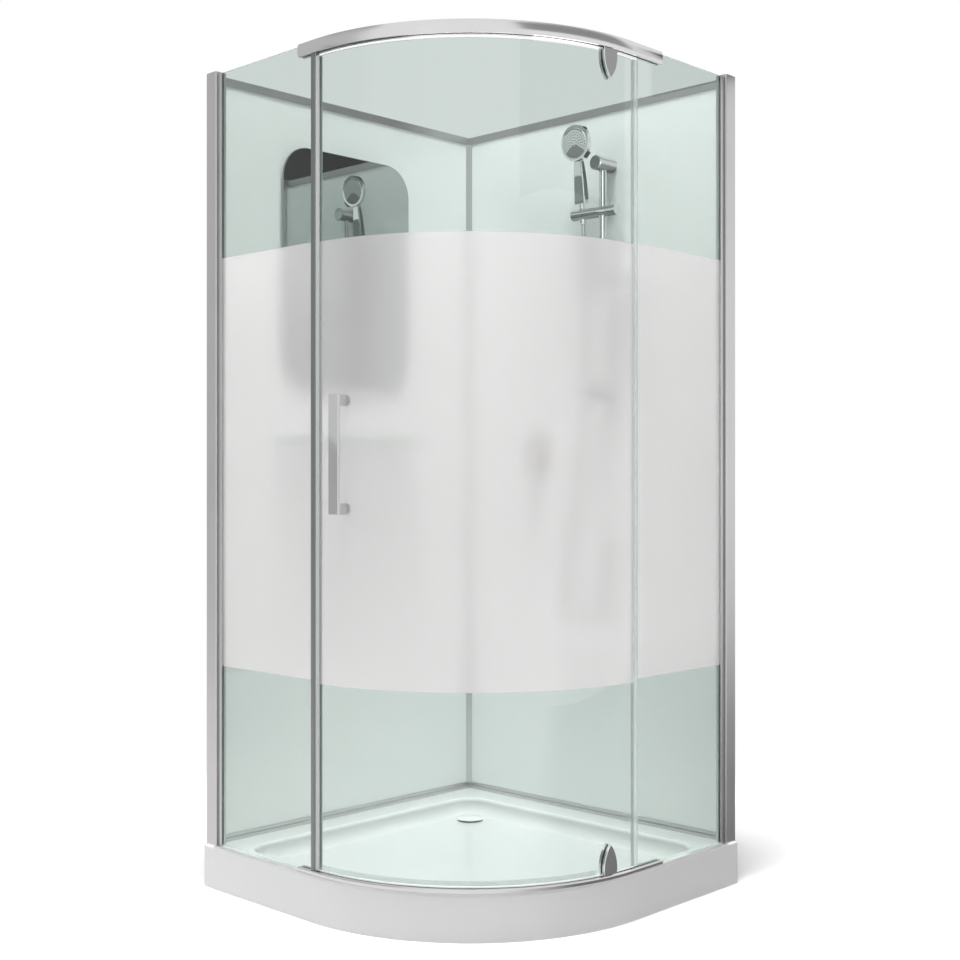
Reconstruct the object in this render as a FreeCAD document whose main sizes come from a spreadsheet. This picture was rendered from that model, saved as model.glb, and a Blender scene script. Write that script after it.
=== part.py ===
import FreeCAD, Part
import math
import os
import Sketcher

# A quadrant shower enclosure: shower tray, two back-painted glass walls, two fixed glass sides,
# a curved pivot door between curved rails, a hand shower on a slide bar, a mixer, a mirror and a shelf.
# Millimetres, +Z up. The origin is on the floor, below the centre of the tray's square.
# The walls stand along -X (left) and +Y (right); the curved front faces +X and -Y.

document = FreeCAD.newDocument("shower_enclosure")
sheet = document.addObject("Spreadsheet::Sheet", "Sizes")

SIZES = {
    # tray
    "tray_side": 900.0,
    "tray_front_radius": 500.0,
    "tray_height": 100.0,
    "tray_wall": 5.0,
    "tray_edge_round": 5.0,
    "tray_corner_round": 4.0,
    "basin_floor": 60.0,
    "basin_wall_ledge": 104.0,
    "basin_front_ledge": 44.0,
    "basin_corner": 60.0,
    "basin_rim_round": 8.0,
    "basin_floor_round": 28.0,
    "rear_skirt": 30.0,
    "rear_skirt_end": 30.0,
    "drain_inset": 180.0,
    "drain_hole": 26.0,
    "tube_side": 20.0,
    "tube_wall": 1.5,
    "foot_pad_radius": 22.0,
    "foot_stud_radius": 5.0,
    "tube_end_gap": 25.0,
    "front_tube_cut": 115.0,
    "trap_radius": 50.0,
    "trap_bottom": 4.0,
    "waste_radius": 20.0,
    "waste_rise": 26.0,
    "waste_wall": 3.0,
    "drain_rim": 35.0,
    "drain_cap": 36.5,
    "drain_stem": 5.0,
    # walls
    "wall_standoff": 19.0,
    "glass_thickness": 5.0,
    "glass_fit": 0.2,
    "profile_depth": 26.0,
    "profile_below_top": 4.5,
    "top_profile_height": 19.5,
    "bottom_profile_height": 17.0,
    "corner_leg": 12.0,
    "profile_roof": 3.0,
    "profile_step": 4.0,
    "profile_step_height": 8.0,
    # posts and fixed glass
    "overall_height": 1927.0,
    "column_width": 39.0,
    "column_depth": 30.0,
    "column_inset": 7.0,
    "column_wall": 1.8,
    "column_round": 2.4,
    "glass_below_top": 5.0,
    "glass_plane": 15.0,
    "channel_neck": 5.5,
    "channel_grip": 7.5,
    "channel_side": 2.0,
    "sill_height": 3.0,
    "sill_lip": 1.0,
    # rails and door
    "rail_width": 21.0,
    "rail_front_bulge": 2.5,
    "rail_below_top": 2.0,
    "top_rail_height": 28.0,
    "bottom_rail_height": 9.0,
    "rail_left_run": 57.0,
    "rail_right_run": 110.0,
    "bush_top_length": 16.8,
    "bottom_rail_floor": 2.8,
    "bottom_rail_bevel": 2.0,
    "closing_lip": 3.0,
    "closing_overlap": 8.0,
    "magnet_width": 5.0,
    "door_top_gap": 9.0,
    "door_bottom_gap": 6.0,
    "door_tail": 16.0,
    "hinge_angle": 82.0,
    "pin_radius": 4.0,
    "bush_radius": 6.0,
    "pin_play": 0.05,
    "clamp_half_width": 18.5,
    "clamp_height": 66.0,
    "clamp_side_radius": 82.0,
    "clamp_thickness": 6.5,
    "clamp_gap": 0.5,
    "clamp_screw_radius": 2.5,
    "clamp_screw_head": 4.5,
    "clamp_screw_spread": 7.5,
    "clamp_screw_inset": 8.0,
    "notch_half_width": 12.0,
    "notch_depth": 16.0,
    "rail_gap": 2.0,
    "handle_angle": 10.0,
    "handle_length": 257.0,
    "handle_bottom": 889.0,
    "handle_width": 26.0,
    "handle_thickness": 8.0,
    "handle_standoff": 30.0,
    "handle_post": 14.0,
    "handle_post_height": 24.0,
    "handle_bolt_radius": 4.0,
    # wall fittings
    "mirror_left": -239.0,
    "mirror_width": 424.0,
    "mirror_bottom": 1205.0,
    "mirror_height": 590.0,
    "mirror_corner": 80.0,
    "mirror_thickness": 5.0,
    "mirror_standoff": 5.0,
    "mirror_pad": 30.0,
    "mirror_pad_inset": 60.0,
    "shelf_height": 1062.0,
    "shelf_width": 470.0,
    "shelf_depth": 120.0,
    "shelf_thickness": 6.0,
    "shelf_corner": 55.0,
    "shelf_bracket_reach": 155.0,
    "bar_place": 83.0,
    "bar_standoff": 34.0,
    "bar_radius": 10.0,
    "bar_wall": 1.5,
    "bar_bottom": 1197.0,
    "bar_top": 1758.0,
    "bracket_radius": 19.0,
    "bracket_length": 66.0,
    "bracket_bevel": 2.4,
    "bracket_past_bar": 8.0,
    "bracket_socket": 20.0,
    "cap_thickness": 1.2,
    "slider_height": 1646.0,
    "slider_radius": 14.0,
    "holder_length": 77.0,
    "slider_length": 38.0,
    "spigot_radius": 8.0,
    "spigot_length": 22.0,
    "stub_radius": 6.0,
    "stub_length": 16.0,
    "knob_length": 26.0,
    "knob_pin_radius": 2.2,
    "knob_pin_place": 8.0,
    "handset_lean": 6.0,
    "handset_reach": 67.0,
    "head_radius": 43.0,
    "head_height": 182.0,
    "mixer_place": -160.0,
    "mixer_height": 1036.0,
    "mixer_plate_radius": 58.0,
    "inlet_radius": 8.33,
    "inlet_spacing": 36.0,
    "outlet_place": 85.0,
    "outlet_height": 818.0,
    "outlet_plate_radius": 28.0,
    "elbow_radius": 13.0,
    "elbow_drop": 24.0,
    "hose_nut_radius": 9.5,
    "hose_nut_length": 16.0,
    "supply_radius": 6.0,
    "supply_bend": 30.0,
    "dish_height": 1478.0,
    "dish_radius": 44.0,
    "dish_depth": 20.0,
    "dish_wall": 3.0,
    "hose_diameter": 12.0,
}

for row, (alias, amount) in enumerate(SIZES.items(), start=1):
    sheet.set(f"A{row}", alias)
    sheet.set(f"B{row}", str(amount))
    sheet.setAlias(f"B{row}", alias)
document.recompute()


class Size:
    """A length together with the sheet formula it comes from: plain arithmetic builds both."""

    def __init__(self, value, formula):
        self.value = value
        self.formula = formula

    def __add__(self, other):
        return Size(self.value + number(other), f"({self.formula} + {formula(other)})")

    def __radd__(self, other):
        return Size(number(other) + self.value, f"({formula(other)} + {self.formula})")

    def __sub__(self, other):
        return Size(self.value - number(other), f"({self.formula} - {formula(other)})")

    def __rsub__(self, other):
        return Size(number(other) - self.value, f"({formula(other)} - {self.formula})")

    def __mul__(self, other):
        return Size(self.value * number(other), f"({self.formula} * {formula(other)})")

    def __rmul__(self, other):
        return self * other

    def __truediv__(self, other):
        return Size(self.value / number(other), f"({self.formula} / {formula(other)})")

    def __neg__(self):
        return Size(-self.value, f"(0 - {self.formula})")


def number(size):
    return size.value if isinstance(size, Size) else float(size)


def formula(size):
    return size.formula if isinstance(size, Size) else f"({float(size)})"


def sine(angle):
    return Size(math.sin(math.radians(number(angle))), f"sin({formula(angle)})")


def cosine(angle):
    return Size(math.cos(math.radians(number(angle))), f"cos({formula(angle)})")


def root(size):
    return Size(math.sqrt(number(size)), f"sqrt({formula(size)})")


def cell(alias):
    return Size(SIZES[alias], f"Sizes.{alias}")


def bind(target, prop, size):
    target.setExpression(prop, formula(size))


def place(target, x=0, y=0, z=0, axis=(0, 0, 1), angle=0):
    """Stands a piece at a point that follows the sheet, turned about one axis."""
    spin = FreeCAD.Rotation(FreeCAD.Vector(*axis), number(angle))
    target.Placement = FreeCAD.Placement(FreeCAD.Vector(number(x), number(y), number(z)), spin)
    for letter, size in zip("xyz", (x, y, z)):
        bind(target, f"Placement.Base.{letter}", size)
    if isinstance(angle, Size):
        bind(target, "Placement.Rotation.Angle", angle)
    return target


# ---------------------------------------------------------------- solids

nodes = []


def keep(piece, label):
    """Names a finished piece; each kept piece becomes one file."""
    document.recompute()
    for other in document.getObjectsByLabel(label):
        other.Label = f"{label} blank"
    piece.Label = label
    nodes.append(piece)
    return piece


def block(name, x, y, z):
    """A box between two limits on each axis."""
    piece = document.addObject("Part::Box", name)
    for prop, (low, high) in zip(("Length", "Width", "Height"), (x, y, z)):
        bind(piece, prop, high - low)
    return place(piece, x[0], y[0], z[0])


def rod(name, radius, length, x, y, z, axis="z"):
    """A cylinder that starts at a point and runs along +X, -Y or +Z."""
    piece = document.addObject("Part::Cylinder", name)
    bind(piece, "Radius", radius)
    bind(piece, "Height", length)
    turns = {"z": ((0, 0, 1), 0), "x": ((0, 1, 0), 90), "-y": ((1, 0, 0), 90)}
    about, angle = turns[axis]
    return place(piece, x, y, z, about, angle)


def cut(name, base, *tools):
    for count, tool in enumerate(tools):
        piece = document.addObject("Part::Cut", f"cut_{name}_{count}")
        piece.Base = base
        piece.Tool = tool
        base = piece
    return base


def fuse(name, *pieces):
    piece = document.addObject("Part::MultiFuse", f"fuse_{name}")
    piece.Shapes = list(pieces)
    piece.Refine = True
    return piece


def group(name, pieces):
    """Identical pieces that share one node, each still its own solid."""
    piece = document.addObject("Part::Compound", f"group_{name}")
    piece.Links = list(pieces)
    return piece


def carried(piece):
    """The same piece in a wrapper that can be placed as a whole."""
    if piece.TypeId in ("Part::Box", "Part::Cylinder"):
        return group(f"{piece.Name}_carried", [piece])
    return piece


def mirrored(name, source):
    """The same piece on the other side of the enclosure's diagonal."""
    piece = document.addObject("Part::Mirroring", f"mirror_{name}")
    piece.Source = source
    piece.Normal = FreeCAD.Vector(1, 1, 0)
    return piece


# ---------------------------------------------------------------- bodies and sketches


def new_body(name):
    return document.addObject("PartDesign::Body", name)


def sketch_on(body, plane, offset=0):
    """An empty sketch on one of the body's origin planes, moved along the plane's normal."""
    drawing = body.newObject("Sketcher::SketchObject", f"{body.Name}_{plane}")
    found = [f for f in body.Origin.OriginFeatures if f.Role == f"{plane}_Plane"]
    drawing.AttachmentSupport = [(found[0], "")]
    drawing.MapMode = "FlatFace"
    bind(drawing, "AttachmentOffset.Base.z", offset)
    return drawing


def constrain(drawing, *terms):
    """Adds a sized constraint whose last term follows the sheet."""
    size = terms[-1]
    index = drawing.addConstraint(Sketcher.Constraint(*terms[:-1], number(size)))
    drawing.setExpression(f"Constraints[{index}]", formula(size))


def draw(drawing, corners, closed=True):
    """Lines and arcs through the corners in order.

    A corner is (x, y) when a line leaves it, or (x, y, centre x, centre y, radius, way) when an arc does,
    where way is 1 anticlockwise and -1 clockwise. Every corner and radius follows the sheet.
    """
    first = drawing.GeometryCount
    up = FreeCAD.Vector(0, 0, 1)
    ends = []
    last = len(corners) if closed else len(corners) - 1
    for index in range(last):
        here = corners[index]
        there = corners[(index + 1) % len(corners)]
        start = FreeCAD.Vector(number(here[0]), number(here[1]), 0)
        stop = FreeCAD.Vector(number(there[0]), number(there[1]), 0)
        if len(here) == 2:
            drawing.addGeometry(Part.LineSegment(start, stop))
            ends.append((1, 2))
            continue
        middle = FreeCAD.Vector(number(here[2]), number(here[3]), 0)
        circle = Part.Circle(middle, up, number(here[4]))
        angles = [math.atan2(p.y - middle.y, p.x - middle.x) for p in (start, stop)]
        if here[5] < 0:
            angles.reverse()
        drawing.addGeometry(Part.ArcOfCircle(circle, *angles))
        ends.append((1, 2) if here[5] > 0 else (2, 1))
    for index in range(last):
        here = corners[index]
        element = first + index
        begin, finish = ends[index]
        if index + 1 < last or closed:
            after = (index + 1) % last
            join = Sketcher.Constraint("Coincident", element, finish, first + after, ends[after][0])
            drawing.addConstraint(join)
        constrain(drawing, "DistanceX", -1, 1, element, begin, here[0])
        constrain(drawing, "DistanceY", -1, 1, element, begin, here[1])
        if len(here) > 2:
            constrain(drawing, "Radius", element, here[4])
    if not closed:
        constrain(drawing, "DistanceX", -1, 1, first + last - 1, ends[-1][1], corners[-1][0])
        constrain(drawing, "DistanceY", -1, 1, first + last - 1, ends[-1][1], corners[-1][1])
    return drawing


def draw_circle(drawing, x, y, radius):
    middle = FreeCAD.Vector(number(x), number(y), 0)
    element = drawing.addGeometry(Part.Circle(middle, FreeCAD.Vector(0, 0, 1), number(radius)))
    constrain(drawing, "DistanceX", -1, 1, element, 3, x)
    constrain(drawing, "DistanceY", -1, 1, element, 3, y)
    constrain(drawing, "Radius", element, radius)
    return drawing


def rounded_box(left, low, right, high, radius):
    """A rectangle with four equal round corners, anticlockwise."""
    return [
        (left + radius, low),
        (right - radius, low, right - radius, low + radius, radius, 1),
        (right, low + radius),
        (right, high - radius, right - radius, high - radius, radius, 1),
        (right - radius, high),
        (left + radius, high, left + radius, high - radius, radius, 1),
        (left, high - radius),
        (left, low + radius, left + radius, low + radius, radius, 1),
    ]


def pad(body, drawing, length, name="Pad"):
    feature = body.newObject("PartDesign::Pad", f"{body.Name}_{name}")
    feature.Profile = drawing
    bind(feature, "Length", length)
    return feature


def pocket(body, drawing, depth, along_normal=False):
    """Cuts a sketch's shape out, and stops the build if nothing was cut."""
    document.recompute()
    before = body.Shape.Volume
    feature = body.newObject("PartDesign::Pocket", f"{body.Name}_Pocket")
    feature.Profile = drawing
    feature.Reversed = along_normal
    bind(feature, "Length", depth)
    document.recompute()
    if feature.Shape.Volume >= before:
        raise RuntimeError(f"a pocket in {body.Name} cuts nothing")
    return feature


def extruded(name, plane, offset, corners, length, circles=()):
    """A body with one closed outline, and any round holes, carried straight along the plane's normal."""
    body = new_body(name)
    drawing = draw(sketch_on(body, plane, offset), corners)
    for x, y, radius in circles:
        draw_circle(drawing, x, y, radius)
    pad(body, drawing, length)
    return body


def turned(name, profile):
    """A body turned about its own Z from (radius, height) corners."""
    body = new_body(name)
    drawing = draw(sketch_on(body, "XZ"), profile)
    feature = body.newObject("PartDesign::Revolution", f"{name}_Turn")
    feature.Profile = drawing
    feature.ReferenceAxis = (drawing, ["V_Axis"])
    feature.Angle = 360
    return body


def edge_names(feature, test):
    """The names of a feature's edges whose bounding box and middle point pass a test."""
    document.recompute()
    found = []
    for index, edge in enumerate(feature.Shape.Edges, start=1):
        middle = edge.valueAt((edge.FirstParameter + edge.LastParameter) / 2)
        if test(edge.BoundBox, middle):
            found.append(f"Edge{index}")
    if not found:
        raise RuntimeError(f"no edge of {feature.Name} passes the test")
    return found


def dress(body, kind, feature, size, test):
    """Rounds or bevels the edges that pass a test; kind is Fillet or Chamfer."""
    names = edge_names(feature, test)
    trim = body.newObject(f"PartDesign::{kind}", f"{body.Name}_{kind}")
    trim.Base = (feature, names)
    bind(trim, "Radius" if kind == "Fillet" else "Size", size)
    return trim


def flat_at(height, slack=0.01):
    """A test for edges that lie flat at one height."""
    level = number(height)
    return lambda box, middle: abs(box.ZMin - level) < slack and abs(box.ZMax - level) < slack


# ---------------------------------------------------------------- shared places

half = cell("tray_side") / 2
arc_shift = cell("tray_front_radius") - half
deck = cell("tray_height")
glass = cell("glass_thickness")
fit = cell("glass_fit")
full_height = cell("overall_height")
profile_top = full_height - cell("profile_below_top")
glass_top = full_height - cell("glass_below_top")
top_rail_low = full_height - cell("rail_below_top") - cell("top_rail_height")
bottom_rail_top = deck + cell("bottom_rail_height")
door_top = top_rail_low - cell("door_top_gap")
door_low = bottom_rail_top + cell("door_bottom_gap")
wall_face = half - cell("wall_standoff") - glass
glass_front = half - cell("glass_plane")
glass_back = glass_front - glass
post_front = half - cell("column_inset")
post_inner = half - cell("column_width")
door_outer = glass_front + arc_shift
door_inner = glass_back + arc_shift
door_middle = (door_outer + door_inner) / 2
rail_front = post_front + arc_shift
rail_back = rail_front - cell("rail_width")
ROUNDING = 0.001
CLOSE_GAP = 0.3
OVERRUN = 1.0  # how far a cutting shape goes past the face it cuts

drain_x = -(half - cell("drain_inset"))
drain_y = half - cell("drain_inset")
tray_underside = cell("basin_floor") - cell("tray_wall")

rail_left_x = -arc_shift - cell("rail_left_run")
rail_right_y = arc_shift + cell("rail_right_run")
closing_x = -arc_shift - cell("closing_overlap")
fixed_end_y = arc_shift + cell("door_tail") + 14.3
magnet_x = -arc_shift + 0.6
door_magnet_x = magnet_x + CLOSE_GAP
door_left_x = door_magnet_x + cell("magnet_width")

hinge_turn = cell("hinge_angle")
hinge_x = -arc_shift + door_middle * sine(hinge_turn)
hinge_y = arc_shift - door_middle * cosine(hinge_turn)
notch_half = cell("notch_half_width")
notch_depth = cell("notch_depth")
handle_bolt = cell("handle_bolt_radius")
post_rise = cell("handle_post_height")

play = cell("pin_play")
bar_x = cell("bar_place")
bar_y = wall_face - cell("bar_standoff")
slider_z = cell("slider_height")
handset_x = bar_x - cell("handset_reach")
mixer_x = cell("mixer_place")
mixer_z = cell("mixer_height")
outlet_x = cell("outlet_place")
outlet_z = cell("outlet_height")
pipe_y = (half - 1 + wall_face + glass) / 2
VALVE_NECK = 24.0
OUTLET_STUB = 10.0
SOCKET_RISE = 16.0


def quadrant(end_inset, front_inset, corner=None):
    """The tray's plan drawn in by two insets: straight sides, then the round front, anticlockwise.

    With a corner radius, the four square corners are rounded.
    """
    low = -(half - front_inset)
    left = -(half - end_inset)
    high = half - end_inset
    right = half - front_inset
    radius = right + arc_shift
    if corner is None:
        return [
            (left, low),
            (-arc_shift, low, -arc_shift, arc_shift, radius, 1),
            (right, arc_shift),
            (right, high),
            (left, high),
        ]
    return [
        (left + corner, low),
        (-arc_shift, low, -arc_shift, arc_shift, radius, 1),
        (right, arc_shift),
        (right, high - corner, right - corner, high - corner, corner, 1),
        (right - corner, high),
        (left + corner, high, left + corner, high - corner, corner, 1),
        (left, high - corner),
        (left, low + corner, left + corner, low + corner, corner, 1),
    ]


# ---------------------------------------------------------------- tray and what is under it


def build_tray():
    """Acrylic shell: a deck, a sunk basin with a drain hole, a front apron and short rear skirts."""
    wall = cell("tray_wall")
    body = new_body("tray")
    slab = pad(body, draw(sketch_on(body, "XY"), quadrant(0, 0)), deck)
    outer = number(half) - ROUNDING

    def square_corner(box, middle):
        return box.ZLength > number(deck) / 2 and min(abs(middle.x), abs(middle.y)) > outer

    dress(body, "Fillet", slab, cell("tray_corner_round"), square_corner)
    basin = quadrant(cell("basin_wall_ledge"), cell("basin_front_ledge"), cell("basin_corner"))
    under = draw(sketch_on(body, "XY"), quadrant(wall, wall))
    ledge = cell("basin_wall_ledge") - wall
    front = cell("basin_front_ledge") - wall
    draw(under, quadrant(ledge, front, cell("basin_corner") + wall))
    pocket(body, under, deck - wall, along_normal=True)
    below = draw(sketch_on(body, "XY"), quadrant(ledge, front, cell("basin_corner") + wall))
    pocket(body, below, cell("basin_floor") - wall, along_normal=True)
    pocket(body, draw(sketch_on(body, "XY", deck), basin), deck - cell("basin_floor"))
    hole = draw_circle(sketch_on(body, "XY"), drain_x, drain_y, cell("drain_hole"))
    pocket(body, hole, deck, along_normal=True)
    past = wall + OVERRUN
    end = half - cell("rear_skirt_end")
    skirt = [
        (-half - past, -end),
        (-half + past, -end),
        (-half + past, half - past),
        (end, half - past),
        (end, half + past),
        (-half - past, half + past),
    ]
    rear = draw(sketch_on(body, "XY"), skirt)
    trimmed = pocket(body, rear, deck - cell("rear_skirt"), along_normal=True)
    floor_level = number(cell("basin_floor"))
    top_level = number(deck)
    limit = number(half) - number(wall)
    back = number(half) - ROUNDING

    def floor_edge(box, middle):
        from_drain = math.hypot(middle.x - number(drain_x), middle.y - number(drain_y))
        return flat_at(floor_level)(box, middle) and from_drain > 2 * number(cell("drain_hole"))

    softened = dress(body, "Fillet", trimmed, cell("basin_floor_round"), floor_edge)

    def rim_edge(box, middle):
        inside = max(abs(middle.x), abs(middle.y)) < limit
        centre = number(arc_shift)
        reach = math.hypot(middle.x + centre, middle.y - centre)
        beyond = reach > number(half + arc_shift) - number(wall)
        on_arc = middle.x > -centre and middle.y < centre and beyond
        return flat_at(top_level)(box, middle) and inside and not on_arc

    softened = dress(body, "Fillet", softened, cell("basin_rim_round"), rim_edge)

    def front_edge(box, middle):
        at_back = box.XMax < -back or box.YMin > back
        return flat_at(top_level)(box, middle) and not at_back and not rim_edge(box, middle)

    dress(body, "Fillet", softened, cell("tray_edge_round"), front_edge)
    keep(body, "tray")


FRONT_LINE = -260.0
MIDDLE_LINE = 0.0
REAR_LINE = 130.0
LEFT_LINE = -380.0
# the tube that each foot stands under, and where along it
FOOT_PLACES = {
    "front": ((-330.0, FRONT_LINE), (240.0, FRONT_LINE)),
    "middle": ((0.0, MIDDLE_LINE), (385.0, MIDDLE_LINE)),
    "rear": ((REAR_LINE, 350.0),),
    "left": ((LEFT_LINE, 180.0),),
}


def square_tube(name, x, y, z, along):
    """A square steel tube between limits, hollow along one axis."""
    wall = cell("tube_wall")
    outer = block(f"{name}_outer", x, y, z)
    limits = {"x": x, "y": y, "z": z}
    for axis, (low, high) in limits.items():
        limits[axis] = (low - OVERRUN, high + OVERRUN) if axis == along else (low + wall, high - wall)
    return cut(name, outer, block(f"{name}_hollow", limits["x"], limits["y"], limits["z"]))


def build_frame():
    """Steel tubes under the basin, each drilled for the studs of its feet."""
    side = cell("tube_side")
    top = tray_underside
    level = (top - side, top)
    end = half - cell("tube_end_gap")
    trap_clearance = 5.0
    beside_trap = drain_y - cell("trap_radius") - trap_clearance
    past_middle = MIDDLE_LINE + side / 2 + CLOSE_GAP

    def about(line):
        return (line - side / 2, line + side / 2)

    limits = {
        "front": ((-end, end - cell("front_tube_cut")), about(FRONT_LINE), "x"),
        "middle": ((-end, end), about(MIDDLE_LINE), "x"),
        "rear": (about(REAR_LINE), (past_middle, end), "y"),
        "left": (about(LEFT_LINE), (past_middle, beside_trap), "y"),
    }
    tubes = []
    for name, (x, y, along) in limits.items():
        tube = square_tube(f"tube_{name}", x, y, level, along)
        radius = cell("foot_stud_radius") + CLOSE_GAP
        holes = [
            rod(
                f"stud_hole_{name}_{index}", radius, side / 2, foot_x, foot_y, top - side - OVERRUN
            )
            for index, (foot_x, foot_y) in enumerate(FOOT_PLACES[name])
        ]
        tubes.append(cut(f"drilled_tube_{name}", tube, *holes))
    keep(group("frame_tubes", tubes), "frame_tubes")


def build_feet():
    """A levelling foot under each stud hole: a pad, a stud and the collar that carries the tube."""
    pad_radius = cell("foot_pad_radius")
    stud = cell("foot_stud_radius")
    tube_bottom = tray_underside - cell("tube_side")
    stud_top = tray_underside - cell("tube_wall") - 3  # clear of the tube's upper wall
    pad_edge = 4
    pad_height = 8
    pad_neck = stud + pad_edge
    collar_height = 7
    collar = stud * 1.7
    feet = []
    for foot_x, foot_y in sum(FOOT_PLACES.values(), ()):
        profile = [
            (0, 0),
            (pad_radius, 0),
            (pad_radius, pad_edge),
            (pad_neck, pad_height),
            (stud, pad_height),
            (stud, tube_bottom - collar_height),
            (collar, tube_bottom - collar_height),
            (collar, tube_bottom),
            (stud, tube_bottom),
            (stud, stud_top),
            (0, stud_top),
        ]
        feet.append(place(turned(f"foot_{len(feet)}", profile), foot_x, foot_y, 0))
    keep(group("levelling_feet", feet), "levelling_feet")


def build_waste():
    """Flat trap under the drain with a spigot to the left wall, a flange and a lift-out cover."""
    wall = cell("waste_wall")
    spigot = cell("waste_radius")
    cup = cell("trap_radius")
    low = cell("trap_bottom")
    rise = cell("waste_rise")
    end = -half + 10
    collar_grip = 4
    collar_length = 20
    outer = rod("trap_outer", cup, tray_underside - low, drain_x, drain_y, low)
    pipe = rod("trap_pipe", spigot, drain_x - end, end, drain_y, rise, "x")
    collar_x = drain_x - cup - collar_grip * 2
    collar = rod("trap_collar", spigot + collar_grip, collar_length, collar_x, drain_y, rise, "x")
    shell = fuse("trap", outer, pipe, collar)
    depth = tray_underside - low - wall * 2
    hollow = rod("trap_hollow", cup - wall, depth, drain_x, drain_y, low + wall)
    mouth = rod("trap_mouth", cell("drain_hole"), depth, drain_x, drain_y, low + wall * 3)
    bore_x = end - OVERRUN
    bore = rod("trap_bore", spigot - wall, drain_x - bore_x, bore_x, drain_y, rise, "x")
    keep(cut("trap_body", shell, hollow, mouth, bore), "trap_body")
    build_flange()
    build_cover()


def build_flange():
    """The drain's ring, its neck, and the hub on two arms that the cover's stem stands in."""
    floor = cell("basin_floor")
    rim = cell("drain_rim")
    neck = cell("drain_hole") - 1
    thick = 2.0
    neck_wall = 3.0
    neck_depth = tray_underside - 12
    profile = [
        (neck - neck_wall, neck_depth),
        (neck, neck_depth),
        (neck, floor),
        (rim, floor),
        (rim, floor + thick / 2),
        (rim - thick, floor + thick),
        (neck - neck_wall, floor + thick),
    ]
    ring = place(turned("drain_flange", profile), drain_x, drain_y, 0)
    stem = cell("drain_stem")
    hub_height = 8.0
    hub = rod("flange_hub", stem + 3, hub_height, drain_x, drain_y, floor - hub_height)
    half_arm = 1.5
    arms = [
        block(
            f"flange_arm_{index}",
            (drain_x - long, drain_x + long),
            (drain_y - wide, drain_y + wide),
            (floor - 6, floor - 1),
        )
        for index, (long, wide) in enumerate(((neck - 1, half_arm), (half_arm, neck - 1)))
    ]
    guide = fuse("drain_guide", ring, hub, *arms)
    bore_low = floor - hub_height - 4
    bore = rod("guide_bore", stem + play, 20, drain_x, drain_y, bore_low)
    keep(cut("drain_flange", guide, bore), "drain_flange")


def build_cover():
    """The domed cover on its stem; it stands over the flange and water runs in under its rim."""
    floor = cell("basin_floor")
    stem = cell("drain_stem")
    cap = cell("drain_cap")
    stem_foot = floor - 14
    under = floor + 5
    profile = [
        (0, stem_foot),
        (stem, stem_foot),
        (stem, under),
        (cap - 3, under),
        (cap, under + 1),
        (cap - 1, under + 2.5),
        (cap / 2, under + 4.5),
        (0, under + 5),
    ]
    keep(place(turned("drain_cover", profile), drain_x, drain_y, 0), "drain_cover")


# ---------------------------------------------------------------- walls


def build_walls():
    """Back-painted glass walls held in aluminium profiles, with a corner strip."""
    top = profile_top
    height = cell("top_profile_height")
    low = cell("bottom_profile_height")
    depth = cell("profile_depth")
    roof = cell("profile_roof")
    panel = (deck + roof, top - roof)
    post_back = post_front - cell("column_depth")
    panel_back = wall_face + glass
    left = block("wall_left", (-panel_back, -wall_face), (-post_back, wall_face), panel)
    keep(left, "wall_panel_left")
    right = block("wall_right", (-half + depth, post_back), (wall_face, panel_back), panel)
    across = glass + 2 * OVERRUN
    behind = panel_back + OVERRUN
    holes = [
        rod("valve_hole", VALVE_NECK + 1, across, mixer_x, behind, mixer_z, "-y"),
        rod("outlet_hole", OUTLET_STUB + 1, across, outlet_x, behind, outlet_z, "-y"),
    ]
    keep(cut("wall_panel_right", right, *holes), "wall_panel_right")

    top_limits = (top - height, top)
    top_groove = (top - height - OVERRUN, top - roof)
    low_limits = (deck, deck + low)
    low_groove = (deck + roof, deck + low + OVERRUN)
    for side in ("left", "right"):
        keep(wall_profile(f"top_profile_{side}", top_limits, top_groove), f"top_profile_{side}")
        piece = wall_profile(f"bottom_profile_{side}", low_limits, low_groove)
        step = profile_foot(f"bottom_profile_{side}", deck)
        keep(fuse(f"bottom_profile_{side}", piece, step), f"bottom_profile_{side}")

    leg = cell("corner_leg")
    outline = [(-wall_face, wall_face), (-wall_face, wall_face - leg), (-wall_face + leg, wall_face)]
    strip = extruded("corner_strip", "XY", deck + low, outline, top - height - deck - low)
    keep(strip, "corner_profile")


def wall_profile(name, limits, groove):
    """A profile along one wall, grooved for the edge of the wall's glass."""
    depth = cell("profile_depth")
    post_back = post_front - cell("column_depth")
    grip = (wall_face - fit, wall_face + glass + fit)
    if name.endswith("left"):
        solid = block(name, (-half, -half + depth), (-post_back, half), limits)
        run = (-post_back - OVERRUN, half + OVERRUN)
        slot = block(f"{name}_slot", (-grip[1], -grip[0]), run, groove)
    else:
        solid = block(name, (-half + depth, post_back), (half - depth, half), limits)
        run = (-half + depth - OVERRUN, post_back + OVERRUN)
        slot = block(f"{name}_slot", run, grip, groove)
    return cut(name, solid, slot)


def profile_foot(name, low):
    """The low step on the inner side of a bottom profile."""
    depth = cell("profile_depth")
    step = cell("profile_step")
    post_back = post_front - cell("column_depth")
    limits = (low, low + cell("profile_step_height"))
    across = (half - depth - step, half - depth)
    if name.endswith("left"):
        return block(f"{name}_step", (-across[1], -across[0]), (-post_back, half - depth), limits)
    return block(f"{name}_step", (-half + depth + step, post_back), across, limits)


# ---------------------------------------------------------------- posts, fixed glass and rails


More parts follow.
